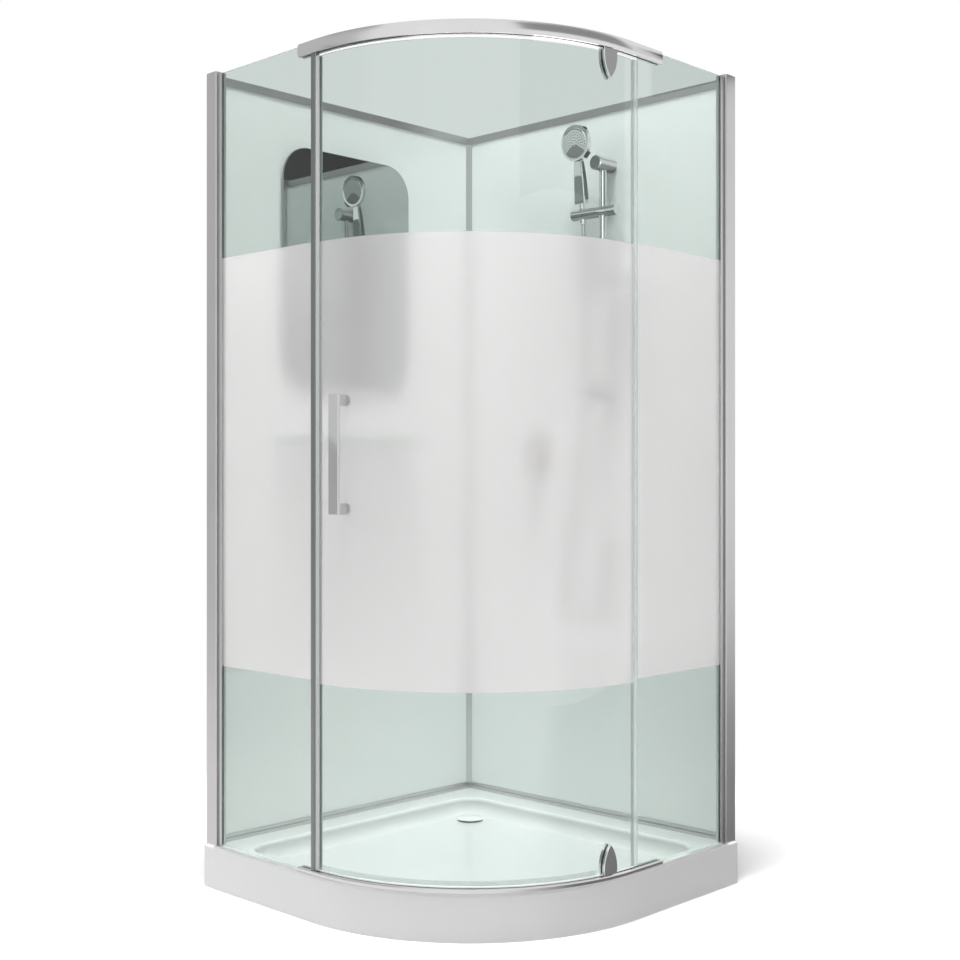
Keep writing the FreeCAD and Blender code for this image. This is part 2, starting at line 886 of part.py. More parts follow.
def build_posts():
    """Front posts, the channels that grip the fixed glass, and the two fixed sides."""
    wall = cell("column_wall")
    rise = full_height - deck
    back = post_front - cell("column_depth")
    body = new_body("column")
    outline = draw(
        sketch_on(body, "XY", deck),
        [
            (-half, -post_front),
            (-post_inner, -post_front),
            (-post_inner, -back),
            (-half, -back),
        ],
    )
    draw(
        outline,
        [
            (-half + wall, -post_front + wall),
            (-post_inner - wall, -post_front + wall),
            (-post_inner - wall, -back - wall),
            (-half + wall, -back - wall),
        ],
    )
    post = pad(body, outline, rise)

    def outer_corner(box, middle):
        on_side = min(abs(middle.x + number(half)), abs(middle.x + number(post_inner))) < ROUNDING
        on_face = min(abs(middle.y + number(back)), abs(middle.y + number(post_front))) < ROUNDING
        return box.ZLength > number(rise) / 2 and on_side and on_face

    dress(body, "Fillet", post, cell("column_round"), outer_corner)
    keep(body, "column_left")
    keep(mirrored("column_right", body), "column_right")

    side = cell("channel_side")
    neck = -post_inner + cell("channel_neck")
    mouth = neck + cell("channel_grip")
    front = -glass_front - fit
    rear = -glass_back + fit
    web = 1.0
    above_glass = 1.5
    channel = extruded(
        "channel",
        "XY",
        deck,
        [
            (-post_inner, front + web),
            (neck, front + web),
            (neck, front - side),
            (mouth, front - side),
            (mouth, front),
            (neck + side, front),
            (neck + side, rear),
            (mouth, rear),
            (mouth, rear + side),
            (neck, rear + side),
            (neck, rear - web),
            (-post_inner, rear - web),
        ],
        glass_top + above_glass - deck,
    )
    pair = [channel, mirrored("glass_channel", channel)]
    keep(group("glass_channels", pair), "glass_channels")

    sill = deck + cell("sill_height")
    top = glass_top
    hidden = neck + side + fit
    pane = block("fixed_left", (hidden, closing_x), (-glass_front, -glass_back), (sill, top))
    keep(pane, "fixed_glass_left")
    pane = block("fixed_right", (glass_back, glass_front), (fixed_end_y, -hidden), (sill, top))
    keep(pane, "fixed_glass_right")

    wide = cell("sill_lip")
    rail_start = rail_left_x - CLOSE_GAP
    rail_stop = rail_right_y + CLOSE_GAP
    seals = [
        block(
            "sill_left",
            (mouth, rail_start),
            (-glass_front - wide, -glass_back + wide),
            (deck, sill),
        ),
        block(
            "sill_right",
            (glass_back - wide, glass_front + wide),
            (rail_stop, -mouth),
            (deck, sill),
        ),
    ]
    keep(group("sill_seals", seals), "sill_seals")


def rail_path(body):
    """The rails' line in plan: straight, round the front, straight."""
    path = sketch_on(body, "XY")
    return draw(
        path,
        [
            (rail_left_x, arc_shift - door_middle),
            (-arc_shift, arc_shift - door_middle, -arc_shift, arc_shift, door_middle, 1),
            (door_middle - arc_shift, arc_shift),
            (door_middle - arc_shift, rail_right_y),
        ],
        closed=False,
    )


def swept_rail(name, corners):
    """A rail of constant section carried along the path, with a hole for its pivot bush."""
    body = new_body(name)
    path = rail_path(body)
    profile = sketch_on(body, "YZ", rail_left_x)
    draw(profile, corners)
    feature = body.newObject("PartDesign::AdditivePipe", f"{name}_Sweep")
    feature.Profile = profile
    feature.Spine = (path, ["Edge1", "Edge2", "Edge3"])
    return body


def build_rails():
    """Curved top rail with a rounded front and a flat bottom rail, both slotted for the fixed glass."""
    front = arc_shift - rail_front
    back = arc_shift - rail_back
    slot_front = -glass_front - fit
    slot_back = -glass_back + fit
    low = top_rail_low
    high = low + cell("top_rail_height")
    bulge = cell("rail_front_bulge")
    half_height = cell("top_rail_height") / 2
    radius = (half_height * half_height + bulge * bulge) / (2 * bulge)
    roof = glass_top + fit * 2
    shoulder = front + bulge
    corners = [
        (shoulder, low),
        (slot_front, low),
        (slot_front, roof),
        (slot_back, roof),
        (slot_back, low),
        (back, low),
        (back, high),
        (shoulder, high, front + radius, low + half_height, radius, 1),
    ]
    rail = swept_rail("top_rail", corners)
    seat = cell("bush_radius") + fit / 4
    bush = cell("bush_top_length")
    hole = rod("top_bush_hole", seat, bush + fit + OVERRUN, hinge_x, hinge_y, low - OVERRUN)
    keep(cut("top_rail", rail, hole), "top_rail")

    top = bottom_rail_top
    floor = deck + cell("bottom_rail_floor")
    bevel = cell("bottom_rail_bevel")
    corners = [
        (front, deck),
        (back, deck),
        (back, top),
        (slot_back, top),
        (slot_back, floor),
        (slot_front, floor),
        (slot_front, top),
        (front + bevel, top),
        (front, top - bevel),
    ]
    rail = swept_rail("bottom_rail", corners)
    hole = rod("bottom_bush_hole", seat, cell("bottom_rail_height"), hinge_x, hinge_y, floor)
    keep(cut("bottom_rail", rail, hole), "bottom_rail")

    bushes = []
    bore_radius = cell("pin_radius") + play
    above_floor = fit / 2
    for name, start, length in (
        ("bush_top", low, bush),
        ("bush_bottom", floor + above_floor, top - floor - above_floor * 4),
    ):
        ring = rod(name, cell("bush_radius"), length, hinge_x, hinge_y, start)
        bore_length = length + 2 * OVERRUN
        bore = rod(f"{name}_bore", bore_radius, bore_length, hinge_x, hinge_y, start - OVERRUN)
        bushes.append(cut(name, ring, bore))
    keep(group("pivot_bushes", bushes), "pivot_bushes")


def build_closing_side():
    """The profile on the fixed glass's free edge and the magnet strip that the door meets."""
    lip = cell("closing_lip")
    low = bottom_rail_top
    rise = top_rail_low - low
    front = -glass_front - fit
    rear = -glass_back + fit
    back_x = closing_x - cell("closing_overlap")
    web = closing_x + fit
    meet = web + 2.5
    inset = lip - 1
    profile = extruded(
        "closing",
        "XY",
        low,
        [
            (back_x, front - lip),
            (meet, front - lip),
            (meet, rear + lip),
            (back_x, rear + lip),
            (back_x, rear),
            (web, rear),
            (web, front),
            (back_x, front),
        ],
        rise,
    )
    keep(profile, "closing_profile")
    strip = block("magnet", (meet, magnet_x), (front - inset, rear + inset), (low, low + rise))
    keep(strip, "fixed_magnet")


def below_arc(x, radius):
    """The Y of the front arc of a given radius at a given X."""
    return arc_shift - root(radius * radius - (x + arc_shift) * (x + arc_shift))


# ---------------------------------------------------------------- door


def fix_to_door(piece, angle):
    """Turns a piece drawn facing -Y about the centre of the door's curve."""
    return place(carried(piece), -arc_shift, arc_shift, 0, angle=angle)


def build_door_glass():
    """Curved pane with a short straight tail and a notch at each pivot."""
    low = door_low
    high = door_top
    tail = arc_shift + cell("door_tail")
    pane = extruded(
        "door_pane",
        "XY",
        low,
        [
            (
                door_left_x,
                below_arc(door_left_x, door_outer),
                -arc_shift,
                arc_shift,
                door_outer,
                1,
            ),
            (glass_front, arc_shift),
            (glass_front, tail),
            (glass_back, tail),
            (glass_back, arc_shift, -arc_shift, arc_shift, door_inner, -1),
            (door_left_x, below_arc(door_left_x, door_inner)),
        ],
        high - low,
    )
    notches = []
    through = (-door_outer - glass, -door_inner + glass)
    for name, z in (
        ("top", (high - notch_depth, high + OVERRUN)),
        ("bottom", (low - OVERRUN, low + notch_depth)),
    ):
        notch = block(f"notch_{name}", (-notch_half, notch_half), through, z)
        notches.append(fix_to_door(notch, hinge_turn))
    low = cell("handle_bottom") + post_rise / 2
    for name, z in (("low", low), ("high", low + cell("handle_length") - post_rise)):
        hole = rod(f"handle_hole_{name}", handle_bolt + 1, glass * 3, 0, through[1], z, "-y")
        notches.append(fix_to_door(hole, cell("handle_angle")))
    keep(cut("door_glass", pane, *notches), "door_glass")


def build_door_seals():
    """Magnet strip on the closing edge, clear seal on the pivot edge, and a sweep along the bottom."""
    low = door_low - 3
    high = door_top
    magnet_lip = 2.3
    side = fit * 2
    front = below_arc(door_left_x, door_outer) - side
    rear = below_arc(door_left_x, door_inner) + side
    grip = door_left_x + cell("magnet_width")
    strip = extruded(
        "magnet_strip",
        "XY",
        low,
        [
            (door_magnet_x, front - magnet_lip),
            (grip, front - magnet_lip),
            (grip, front),
            (door_left_x - fit, front),
            (door_left_x - fit, rear),
            (grip, rear),
            (grip, rear + magnet_lip),
            (door_magnet_x, rear + magnet_lip),
        ],
        high - low,
    )
    keep(strip, "door_magnet_strip")

    tail = arc_shift + cell("door_tail")
    lip = 1.8
    hold = 4.0
    nose = 1.0
    tip = fixed_end_y - 0.6
    out = glass_front + fit
    back = glass_back - fit
    seal = extruded(
        "edge_seal",
        "XY",
        low,
        [
            (out + lip, tail - hold),
            (out + lip, tail + hold),
            (out - nose, tip),
            (back + nose, tip),
            (back - lip, tail + hold),
            (back - lip, tail - hold),
            (back, tail - hold),
            (back, tail + fit),
            (out, tail + fit),
            (out, tail - hold),
        ],
        high - low,
    )
    keep(seal, "door_edge_seal")

    stop = hinge_turn - 4
    sweep_wall = 1.5
    sweep_grip = 9.0
    ring_in = door_inner - sweep_wall
    ring_out = door_outer + sweep_wall
    start_x = grip + 1
    sweep_low = bottom_rail_top + sweep_wall

    def sector(inside, outside):
        return [
            (start_x, below_arc(start_x, outside), -arc_shift, arc_shift, outside, 1),
            (-arc_shift + outside * sine(stop), arc_shift - outside * cosine(stop)),
            (
                -arc_shift + inside * sine(stop),
                arc_shift - inside * cosine(stop),
                -arc_shift,
                arc_shift,
                inside,
                -1,
            ),
            (start_x, below_arc(start_x, inside)),
        ]

    body = new_body("sweep")
    sweep_top = door_low + sweep_grip
    outline = draw(sketch_on(body, "XY", sweep_low), sector(ring_in, ring_out))
    pad(body, outline, sweep_top - sweep_low)
    groove = draw(sketch_on(body, "XY", sweep_top), sector(door_inner - fit, door_outer + fit))
    pocket(body, groove, sweep_grip + fit)
    keep(body, "door_sweep")


def shield(point_z, flat_z):
    """A clamp plate's outline: flat at the rail, two round sides that meet in a point."""
    across = cell("clamp_half_width")
    radius = cell("clamp_side_radius")
    rise = point_z - flat_z
    chord = root(across * across + rise * rise)
    inset = root(radius * radius - chord * chord / 4)
    # the middle of each side's chord, moved square to it towards the other side
    mid_x = across / 2
    mid_z = (point_z + flat_z) / 2
    away_x = inset * rise / chord
    away_z = inset * across / chord
    if number(rise) > 0:
        return [
            (-across, flat_z),
            (across, flat_z, mid_x - away_x, mid_z - away_z, radius, 1),
            (0, point_z, -mid_x + away_x, mid_z - away_z, radius, 1),
        ]
    return [
        (across, flat_z),
        (-across, flat_z, -mid_x - away_x, mid_z + away_z, radius, 1),
        (0, point_z, mid_x + away_x, mid_z + away_z, radius, 1),
    ]


def build_clamps():
    """Two pivot clamps: outer and inner plates, pivot blocks with pins, and their screws."""
    gap = cell("clamp_gap")
    thick = cell("clamp_thickness")
    top_flat = top_rail_low - cell("rail_gap")
    low_flat = bottom_rail_top + cell("rail_gap")
    height = cell("clamp_height")
    screw = cell("clamp_screw_radius")
    head = cell("clamp_screw_head")
    spread = cell("clamp_screw_spread")
    inset = cell("clamp_screw_inset")
    hole = screw + 0.1
    skin = 2.0  # left in front of the screws' blind holes
    head_depth = 3.0
    outer, inner, pins, screws = [], [], [], []
    for name, flat, point, screw_z in (
        ("top", top_flat, top_flat - height, door_top - inset),
        ("bottom", low_flat, low_flat + height, door_low + inset),
    ):
        outline = shield(point, flat)
        places = [(-spread, screw_z), (spread, screw_z)]

        body = new_body(f"outer_{name}")
        start = door_outer + gap
        pad(body, draw(sketch_on(body, "XZ", start), outline), thick)
        blind = sketch_on(body, "XZ", start)
        for x, z in places:
            draw_circle(blind, x, z, hole)
        drilled = pocket(body, blind, thick - skin, along_normal=True)
        face = -number(start + thick)
        dress(body, "Chamfer", drilled, 1, lambda box, middle, y=face: box.YMax < y + ROUNDING)
        outer.append(fix_to_door(body, hinge_turn))

        body = new_body(f"inner_{name}")
        face_in = door_inner - gap - thick
        drawing = draw(sketch_on(body, "XZ", face_in), outline)
        for x, z in places:
            draw_circle(drawing, x, z, hole)
        pad(body, drawing, thick)
        heads = sketch_on(body, "XZ", face_in)
        for x, z in places:
            draw_circle(heads, x, z, head + fit)
        pocket(body, heads, head_depth, along_normal=True)
        inner.append(fix_to_door(body, hinge_turn))

        up = 1 if name == "top" else -1
        edge = door_top if up > 0 else door_low
        far = edge - (notch_depth - 1) * up
        limits = (far, flat) if up > 0 else (flat, far)
        core = block(
            f"pivot_block_{name}",
            (-notch_half + gap, notch_half - gap),
            (-door_outer - gap, -door_inner + gap),
            limits,
        )
        reach = 14 if name == "top" else cell("bottom_rail_height") - 2
        pin_low = flat if up > 0 else flat - reach
        pin = rod(f"pivot_pin_{name}", cell("pin_radius"), reach, 0, -door_middle, pin_low)
        blank = fuse(f"pivot_{name}", core, pin)
        bore_start = -door_inner + gap + OVERRUN
        bore_length = glass + 2 * gap + 2 * OVERRUN
        bores = [
            rod(f"pivot_bore_{name}_{k}", hole, bore_length, x, bore_start, z, "-y")
            for k, (x, z) in enumerate(places)
        ]
        pins.append(fix_to_door(cut(f"pivot_pin_{name}", blank, *bores), hinge_turn))
        for k, (x, z) in enumerate(places):
            length = start + thick - skin - gap - face_in
            shank = rod(f"screw_{name}_{k}", screw, length, x, -face_in, z, "-y")
            cap = rod(f"screw_head_{name}_{k}", head, head_depth, x, -face_in, z, "-y")
            screws.append(fix_to_door(fuse(f"screw_{name}_{k}", shank, cap), hinge_turn))
    keep(group("clamp_outer_plates", outer), "clamp_outer_plates")
    keep(group("clamp_inner_plates", inner), "clamp_inner_plates")
    keep(group("pivot_pins", pins), "pivot_pins")
    keep(group("clamp_screws", screws), "clamp_screws")


def build_handle():
    """A flat bar on two square posts outside, with round plates inside."""
    turn = cell("handle_angle")
    width = cell("handle_width") / 2
    low = cell("handle_bottom")
    high = low + cell("handle_length")
    post_half = cell("handle_post") / 2
    touch = door_outer + fit / 2
    face = door_outer + cell("handle_standoff")
    body = new_body("handle_bar")
    bar = pad(
        body,
        draw(
            sketch_on(body, "XZ", face),
            [(-width, low), (width, low), (width, high), (-width, high)],
        ),
        cell("handle_thickness"),
    )
    front = -number(face + cell("handle_thickness"))
    bevel = 0.6
    dress(body, "Chamfer", bar, bevel, lambda box, middle: box.YMax < front + ROUNDING)
    keep(fix_to_door(body, turn), "handle_bar")
    posts = []
    plates = []
    plate_radius = 12.0
    thick = 4.0
    plate_y = -door_inner + thick + CLOSE_GAP
    button_height = 2.0
    for index, start in enumerate((low, high - post_rise)):
        post = block(
            f"handle_post_{index}",
            (-post_half, post_half),
            (-face, -touch),
            (start, start + post_rise),
        )
        posts.append(fix_to_door(post, turn))
        level = start + post_rise / 2
        plate = rod(f"handle_plate_{index}", plate_radius, thick, 0, plate_y, level, "-y")
        button_y = plate_y + button_height
        button = rod(f"handle_button_{index}", handle_bolt + 2, button_height, 0, button_y, level, "-y")
        bolt_y = -door_inner + thick
        bolt = rod(f"handle_bolt_{index}", handle_bolt, touch + bolt_y, 0, bolt_y, level, "-y")
        plates.append(fix_to_door(fuse(f"handle_plate_{index}", plate, button, bolt), turn))
    keep(group("handle_posts", posts), "handle_posts")
    keep(group("handle_inner_plates", plates), "handle_inner_plates")


# ---------------------------------------------------------------- mirror and shelf


def build_mirror():
    """Mirror with round corners and a bevelled rim, on four foam pads."""
    thick = cell("mirror_thickness")
    low = cell("mirror_bottom")
    high = low + cell("mirror_height")
    left = cell("mirror_left")
    right = left + cell("mirror_width")
    back = -wall_face + cell("mirror_standoff")
    body = new_body("mirror")
    outline = rounded_box(left, low, right, high, cell("mirror_corner"))
    plate = pad(body, draw(sketch_on(body, "YZ", back), outline), thick)
    front = number(back + thick)
    dress(body, "Chamfer", plate, thick / 3, lambda box, middle: box.XMin > front - ROUNDING)
    keep(body, "mirror")
    pads = []
    inset = cell("mirror_pad_inset")
    side = cell("mirror_pad")
    for index, y in enumerate((left + inset, right - inset - side)):
        for row, z in enumerate((low + inset, high - inset - side)):
            name = f"mirror_pad_{index}_{row}"
            pads.append(block(name, (-wall_face, back), (y, y + side), (z, z + side)))
    keep(group("mirror_pads", pads), "mirror_pads")


def build_shelf():
    """Glass shelf with round front corners, gripped by two jaws below the mirror."""
    middle = cell("mirror_left") + cell("mirror_width") / 2
    low = cell("shelf_height")
    slab = cell("shelf_thickness")
    wide = cell("shelf_width") / 2
    radius = cell("shelf_corner")
    wall_gap = 0.5
    near = -wall_face + wall_gap
    far = -wall_face + cell("shelf_depth")
    bend = far - radius
    left = middle - wide
    right = middle + wide
    outline = [
        (near, left),
        (bend, left, bend, left + radius, radius, 1),
        (far, left + radius),
        (far, right - radius, bend, right - radius, radius, 1),
        (bend, right),
        (near, right),
    ]
    keep(extruded("shelf", "XY", low, outline, slab), "shelf_glass")
    jaw_half = 10.0
    jaw_depth = 30.0
    jaw_rise = 8.0
    slip = 0.05
    reach = cell("shelf_bracket_reach")
    brackets = []
    for index, y in enumerate((middle - reach, middle + reach)):
        jaw = block(
            f"shelf_bracket_{index}_jaw",
            (-wall_face, -wall_face + jaw_depth),
            (y - jaw_half, y + jaw_half),
            (low - jaw_rise, low + slab + jaw_rise),
        )
        slot = block(
            f"shelf_bracket_{index}_slot",
            (near - fit / 2, -wall_face + jaw_depth + OVERRUN),
            (y - jaw_half - OVERRUN, y + jaw_half + OVERRUN),
            (low - slip, low + slab + slip),
        )
        brackets.append(cut(f"shelf_bracket_{index}", jaw, slot))
    keep(group("shelf_brackets", brackets), "shelf_brackets")


# ---------------------------------------------------------------- slide bar, slider and hand shower


def build_slide_bar():
    """A tube between two round brackets, each with a polished cap let into its front end."""
    radius = cell("bar_radius")
    low = cell("bar_bottom")
    high = cell("bar_top")
    outer = rod("bar_outer", radius, high - low, bar_x, bar_y, low)
    bore = high - low + 2 * OVERRUN
    hollow = rod("bar_hollow", radius - cell("bar_wall"), bore, bar_x, bar_y, low - OVERRUN)
    keep(cut("slide_bar", outer, hollow), "slide_bar")
    length = cell("bracket_length")
    wide = cell("bracket_radius")
    bevel = cell("bracket_bevel")
    past = cell("bracket_past_bar")
    deep = cell("bracket_socket")
    cap = cell("cap_thickness")
    rim = 0.6
    seat = 1.5
    brackets = []
    caps = []
    for name, z, socket_low in (
        ("bar_bracket_upper", high + past, high - deep),
        ("bar_bracket_lower", low - past, low),
    ):
        profile = [
            (0, 0),
            (wide, 0),
            (wide, length - bevel),
            (wide - bevel, length),
            (wide - bevel - rim, length),
            (wide - bevel - rim, length - seat),
            (0, length - seat),
        ]
        body = place(turned(name, profile), bar_x, wall_face, z, (1, 0, 0), 90)
        socket = rod(f"{name}_socket", radius + play, deep, bar_x, bar_y, socket_low)
        brackets.append(cut(name, body, socket))
        front = wall_face - length + seat
        caps.append(rod(f"{name}_cap", wide - bevel - rim - fit, cap, bar_x, front, z, "-y"))
    keep(group("bar_brackets", brackets), "bar_brackets")
    keep(group("bracket_caps", caps), "bracket_caps")


def build_slider():
    """Sleeve on the bar with a spigot each side: one carries the handset holder, one the lock knob."""
    radius = cell("slider_radius")
    half_length = cell("slider_length") / 2
    left = bar_x - half_length
    right = bar_x + half_length
    spigot = cell("spigot_radius")
    spigot_run = cell("spigot_length")
    stub = cell("stub_radius")
    stub_run = cell("stub_length")
    inside = 2.0  # how far each spigot is sunk into the sleeve
    sleeve = rod("slider_sleeve", radius, cell("slider_length"), left, bar_y, slider_z, "x")
    left_pin = rod(
        "slider_spigot", spigot, spigot_run + inside, left - spigot_run, bar_y, slider_z, "x"
    )
    right_pin = rod("slider_stub", stub, stub_run + inside, right - inside, bar_y, slider_z, "x")
    core = fuse("slider_body", sleeve, left_pin, right_pin)
    bore_radius = cell("bar_radius") + play
    bore = rod("slider_bore", bore_radius, radius * 4, bar_x, bar_y, slider_z - radius * 2)
    keep(cut("slider_body", core, bore), "slider_body")

    end = left - CLOSE_GAP
    start = end - cell("holder_length")
    shell = rod("holder_shell", radius, cell("holder_length"), start, bar_y, slider_z, "x")
    socket_start = end - spigot_run - CLOSE_GAP / 2
    socket = rod(
        "holder_socket", spigot + play, spigot_run + CLOSE_GAP, socket_start, bar_y, slider_z, "x"
    )
    cone = lean(turned("holder_cone", cone_profile(play, 20)))
    keep(cut("handset_holder", shell, socket, cone), "handset_holder")

    start = right + CLOSE_GAP
    drum = rod("knob_drum", radius, cell("knob_length"), start, bar_y, slider_z, "x")
    pin_x = start + cell("knob_pin_place")
    pin = rod("knob_pin", cell("knob_pin_radius"), 10, pin_x, bar_y, slider_z + radius - 1)
    knob = fuse("lock_knob", drum, pin)
    socket_run = stub_run + OVERRUN
    socket = rod("knob_socket", stub + play, socket_run, start - OVERRUN, bar_y, slider_z, "x")
    keep(cut("lock_knob", knob, socket), "lock_knob")


def cone_profile(extra, overrun):
    """The handset's cone about its own axis, grown by a clearance; height 0 is the slider's axis."""
    low = 9.0 + extra
    high = 10.2 + extra
    return [
        (0, -overrun),
        (low, -overrun),
        (high, overrun),
        (0, overrun),
    ]


def lean(piece):
    """Stands a handset piece, drawn upright about Z, in the leaning holder."""
    return place(piece, handset_x, bar_y, slider_z, (1, 0, 0), cell("handset_lean"))


def build_handset():
    """Handle and head in one shell, spray face, spray selector ring with its tabs, and the hose cone."""
    head = cell("head_radius")
    height = cell("head_height")
    face_y = 13.0
    back_y = 9.0
    groove = 2.4
    handle_foot = 28.0
    body = new_body("handset_body")
    draw_handle(body, handle_foot, height - head + 12)
    turn_head(body, face_y, back_y, groove)
    rim = 4.0
    seat_depth = 2.0
    seat = draw_circle(sketch_on(body, "XZ", face_y), 0, height, head - rim)
    pocket(body, seat, seat_depth)
    behind = 0.9
    outside = 30.0
    relief = sketch_on(body, "XZ", outside)
    draw_circle(relief, 0, height, head + rim)
    draw_circle(relief, 0, height, head - groove)
    pocket(body, relief, outside - behind)
    keep(lean(body), "handset_body")

    face_back = face_y - seat_depth + fit / 2
    face = extruded_disc("handset_face", face_back, height, head - rim - CLOSE_GAP, 3.4)
    keep(lean(face), "handset_face")

    ring = new_body("selector_ring")
    ring_back = 1.3
    drawing = sketch_on(ring, "XZ", ring_back)
    draw_circle(drawing, 0, height, head + groove)
    draw_circle(drawing, 0, height, head - groove + CLOSE_GAP)
    pad(ring, drawing, face_y - ring_back - CLOSE_GAP)
    tabs = []
    for name, reach, across, angle in (("tab", 9, 9, 45), ("stop", 5, 5, -45)):
        lug = block(f"selector_{name}", (head + 1, head + reach), (-12, -3), (-across, across))
        tabs.append(place(group(f"selector_{name}", [lug]), 0, 0, height, (0, 1, 0), angle))
    keep(lean(fuse("selector", ring, *tabs)), "spray_selector")

    mouth_radius = 7.5
    cone = turned(
        "cone_nut",
        [
            (0, -24),
            (mouth_radius, -24),
            (9.0, -20),
            (9.96, 12),
            (7, 15),
            (7, handle_foot),
            (0, handle_foot),
        ],
    )
    keep(lean(cone), "handset_cone")


def draw_handle(body, low, high):
    """A tapering handle through three rounded sections: height, half width, half depth, middle."""
    corner = 4
    sections = []
    for z, wide, deep, middle in ((low, 18, 10.5, 0), (95, 16, 8.5, 0), (high, 12, 6.5, -1)):
        outline = rounded_box(-wide, middle - deep, wide, middle + deep, corner)
        sections.append(draw(sketch_on(body, "XY", z), outline))
    loft = body.newObject("PartDesign::AdditiveLoft", "handset_handle")
    loft.Profile = sections[0]
    loft.Sections = sections[1:]
    loft.Ruled = True


def turn_head(body, face_y, back_y, groove):
    """The round head, turned about the line through its middle from front to back."""
    head = cell("head_radius")
    height = cell("head_height")
    profile = sketch_on(body, "YZ")
    draw(
        profile,
        [
            (-face_y, height),
            (-face_y, height + head - groove),
            (-1, height + head - groove),
            (-1, height + head),
            (3, height + head - 2),
            (back_y - 3, height + head - 12),
            (back_y, height + 16),
            (back_y + 1, height),
        ],
    )
    level = number(height)
    reach = 20
    ends = (FreeCAD.Vector(-reach, level, 0), FreeCAD.Vector(reach, level, 0))
    axis = profile.addGeometry(Part.LineSegment(*ends), True)
    constrain(profile, "DistanceY", -1, 1, axis, 1, height)
    constrain(profile, "DistanceY", -1, 1, axis, 2, height)
    turn = body.newObject("PartDesign::Revolution", "handset_head")
    turn.Profile = profile
    turn.ReferenceAxis = (profile, ["Axis0"])
    turn.Angle = 360


def extruded_disc(name, offset, height, radius, thick):
    """A disc that faces -Y, centred on the head's axis."""
    body = new_body(name)
    drawing = draw_circle(sketch_on(body, "XZ", offset), 0, height, radius)
    pad(body, drawing, thick)
    return body


# ---------------------------------------------------------------- mixer, outlet and soap dish


def build_mixer():
    """Concealed valve with two threaded inlets, a wall plate, a turning cap and a lifting lever."""
    back = half - 1
    front = wall_face + glass
    inlet = cell("inlet_radius")
    spread = cell("inlet_spacing") / 2
    inlet_wall = 2.0
    half_wide = 45.0
    half_high = 30.0
    body = block(
        "valve_block",
        (mixer_x - half_wide, mixer_x + half_wide),
        (front, back),
        (mixer_z - half_high, mixer_z + half_high),
    )
    neck_length = 26.0
    neck_start = front + 8
    spindle = 6.0
    tail = 22.0
    inside = 3.0  # how far a round piece is sunk into the block it grows from
    neck = rod("valve_neck", VALVE_NECK, neck_length, mixer_x, neck_start, mixer_z, "-y")
    tail_x = mixer_x - half_wide - tail
    levels = (mixer_z - spread, mixer_z + spread)
    tails = [
        rod(f"inlet_{index}", inlet, tail + inside, tail_x, pipe_y, z, "x")
        for index, z in enumerate(levels)
    ]
    nose = neck_start - neck_length
    post = rod("valve_spindle", spindle, 17, mixer_x, nose + 2, mixer_z, "-y")
    solid = fuse("mixer_valve", body, neck, post, *tails)
    bore_run = tail + 2 * inside
    bores = [
        rod(f"inlet_bore_{index}", inlet - inlet_wall, bore_run, tail_x - OVERRUN, pipe_y, z, "x")
        for index, z in enumerate(levels)
    ]
    keep(cut("mixer_valve", solid, *bores), "mixer_valve")

    rim = cell("mixer_plate_radius")
    plate_out = 6.0
    hole = VALVE_NECK + CLOSE_GAP
    profile = [
        (hole, 0),
        (rim, 0),
        (rim, plate_out / 2),
        (rim - plate_out / 2, plate_out),
        (hole, plate_out),
    ]
    plate = place(turned("mixer_plate", profile), mixer_x, wall_face, mixer_z, (1, 0, 0), 90)
    keep(plate, "mixer_plate")
    build_lever(nose - CLOSE_GAP, spindle + play)


def build_lever(cap_start, bore):
    """The cap that turns on the valve's spindle and the lever that tilts on the cap's pin."""
    radius = 21.0
    length = 28.0
    bevel = 3.0
    bore_depth = 15.5
    profile = [
        (bore, 0),
        (radius, 0),
        (radius, length - bevel - 1),
        (radius - bevel, length),
        (0, length),
        (0, bore_depth),
        (bore, bore_depth),
    ]
    cap = place(turned("mixer_cap", profile), mixer_x, cap_start, mixer_z, (1, 0, 0), 90)
    slot_half = 7.0
    slot = block(
        "lever_slot",
        (mixer_x - slot_half, mixer_x + slot_half),
        (cap_start - length - 2, cap_start - 19.5),
        (mixer_z - 30, mixer_z + 5),
    )
    pivot_y = cap_start - 24.5
    pin_radius = 1.5
    pin_half = 9.0
    pin = rod("lever_pin", pin_radius, pin_half * 2, mixer_x - pin_half, pivot_y, mixer_z, "x")
    keep(fuse("mixer_cap", cut("mixer_cap", cap, slot), pin), "mixer_cap")
    arm_half = slot_half - 1
    thick = 3.0
    arm = block(
        "lever_arm",
        (mixer_x - arm_half, mixer_x + arm_half),
        (pivot_y - thick, pivot_y + thick),
        (mixer_z - 78, mixer_z + thick),
    )
    eye_half = 10.0
    eye_radius = pin_radius + play
    eye = rod("lever_eye", eye_radius, eye_half * 2, mixer_x - eye_half, pivot_y, mixer_z, "x")
    keep(cut("mixer_lever", arm, eye), "mixer_lever")


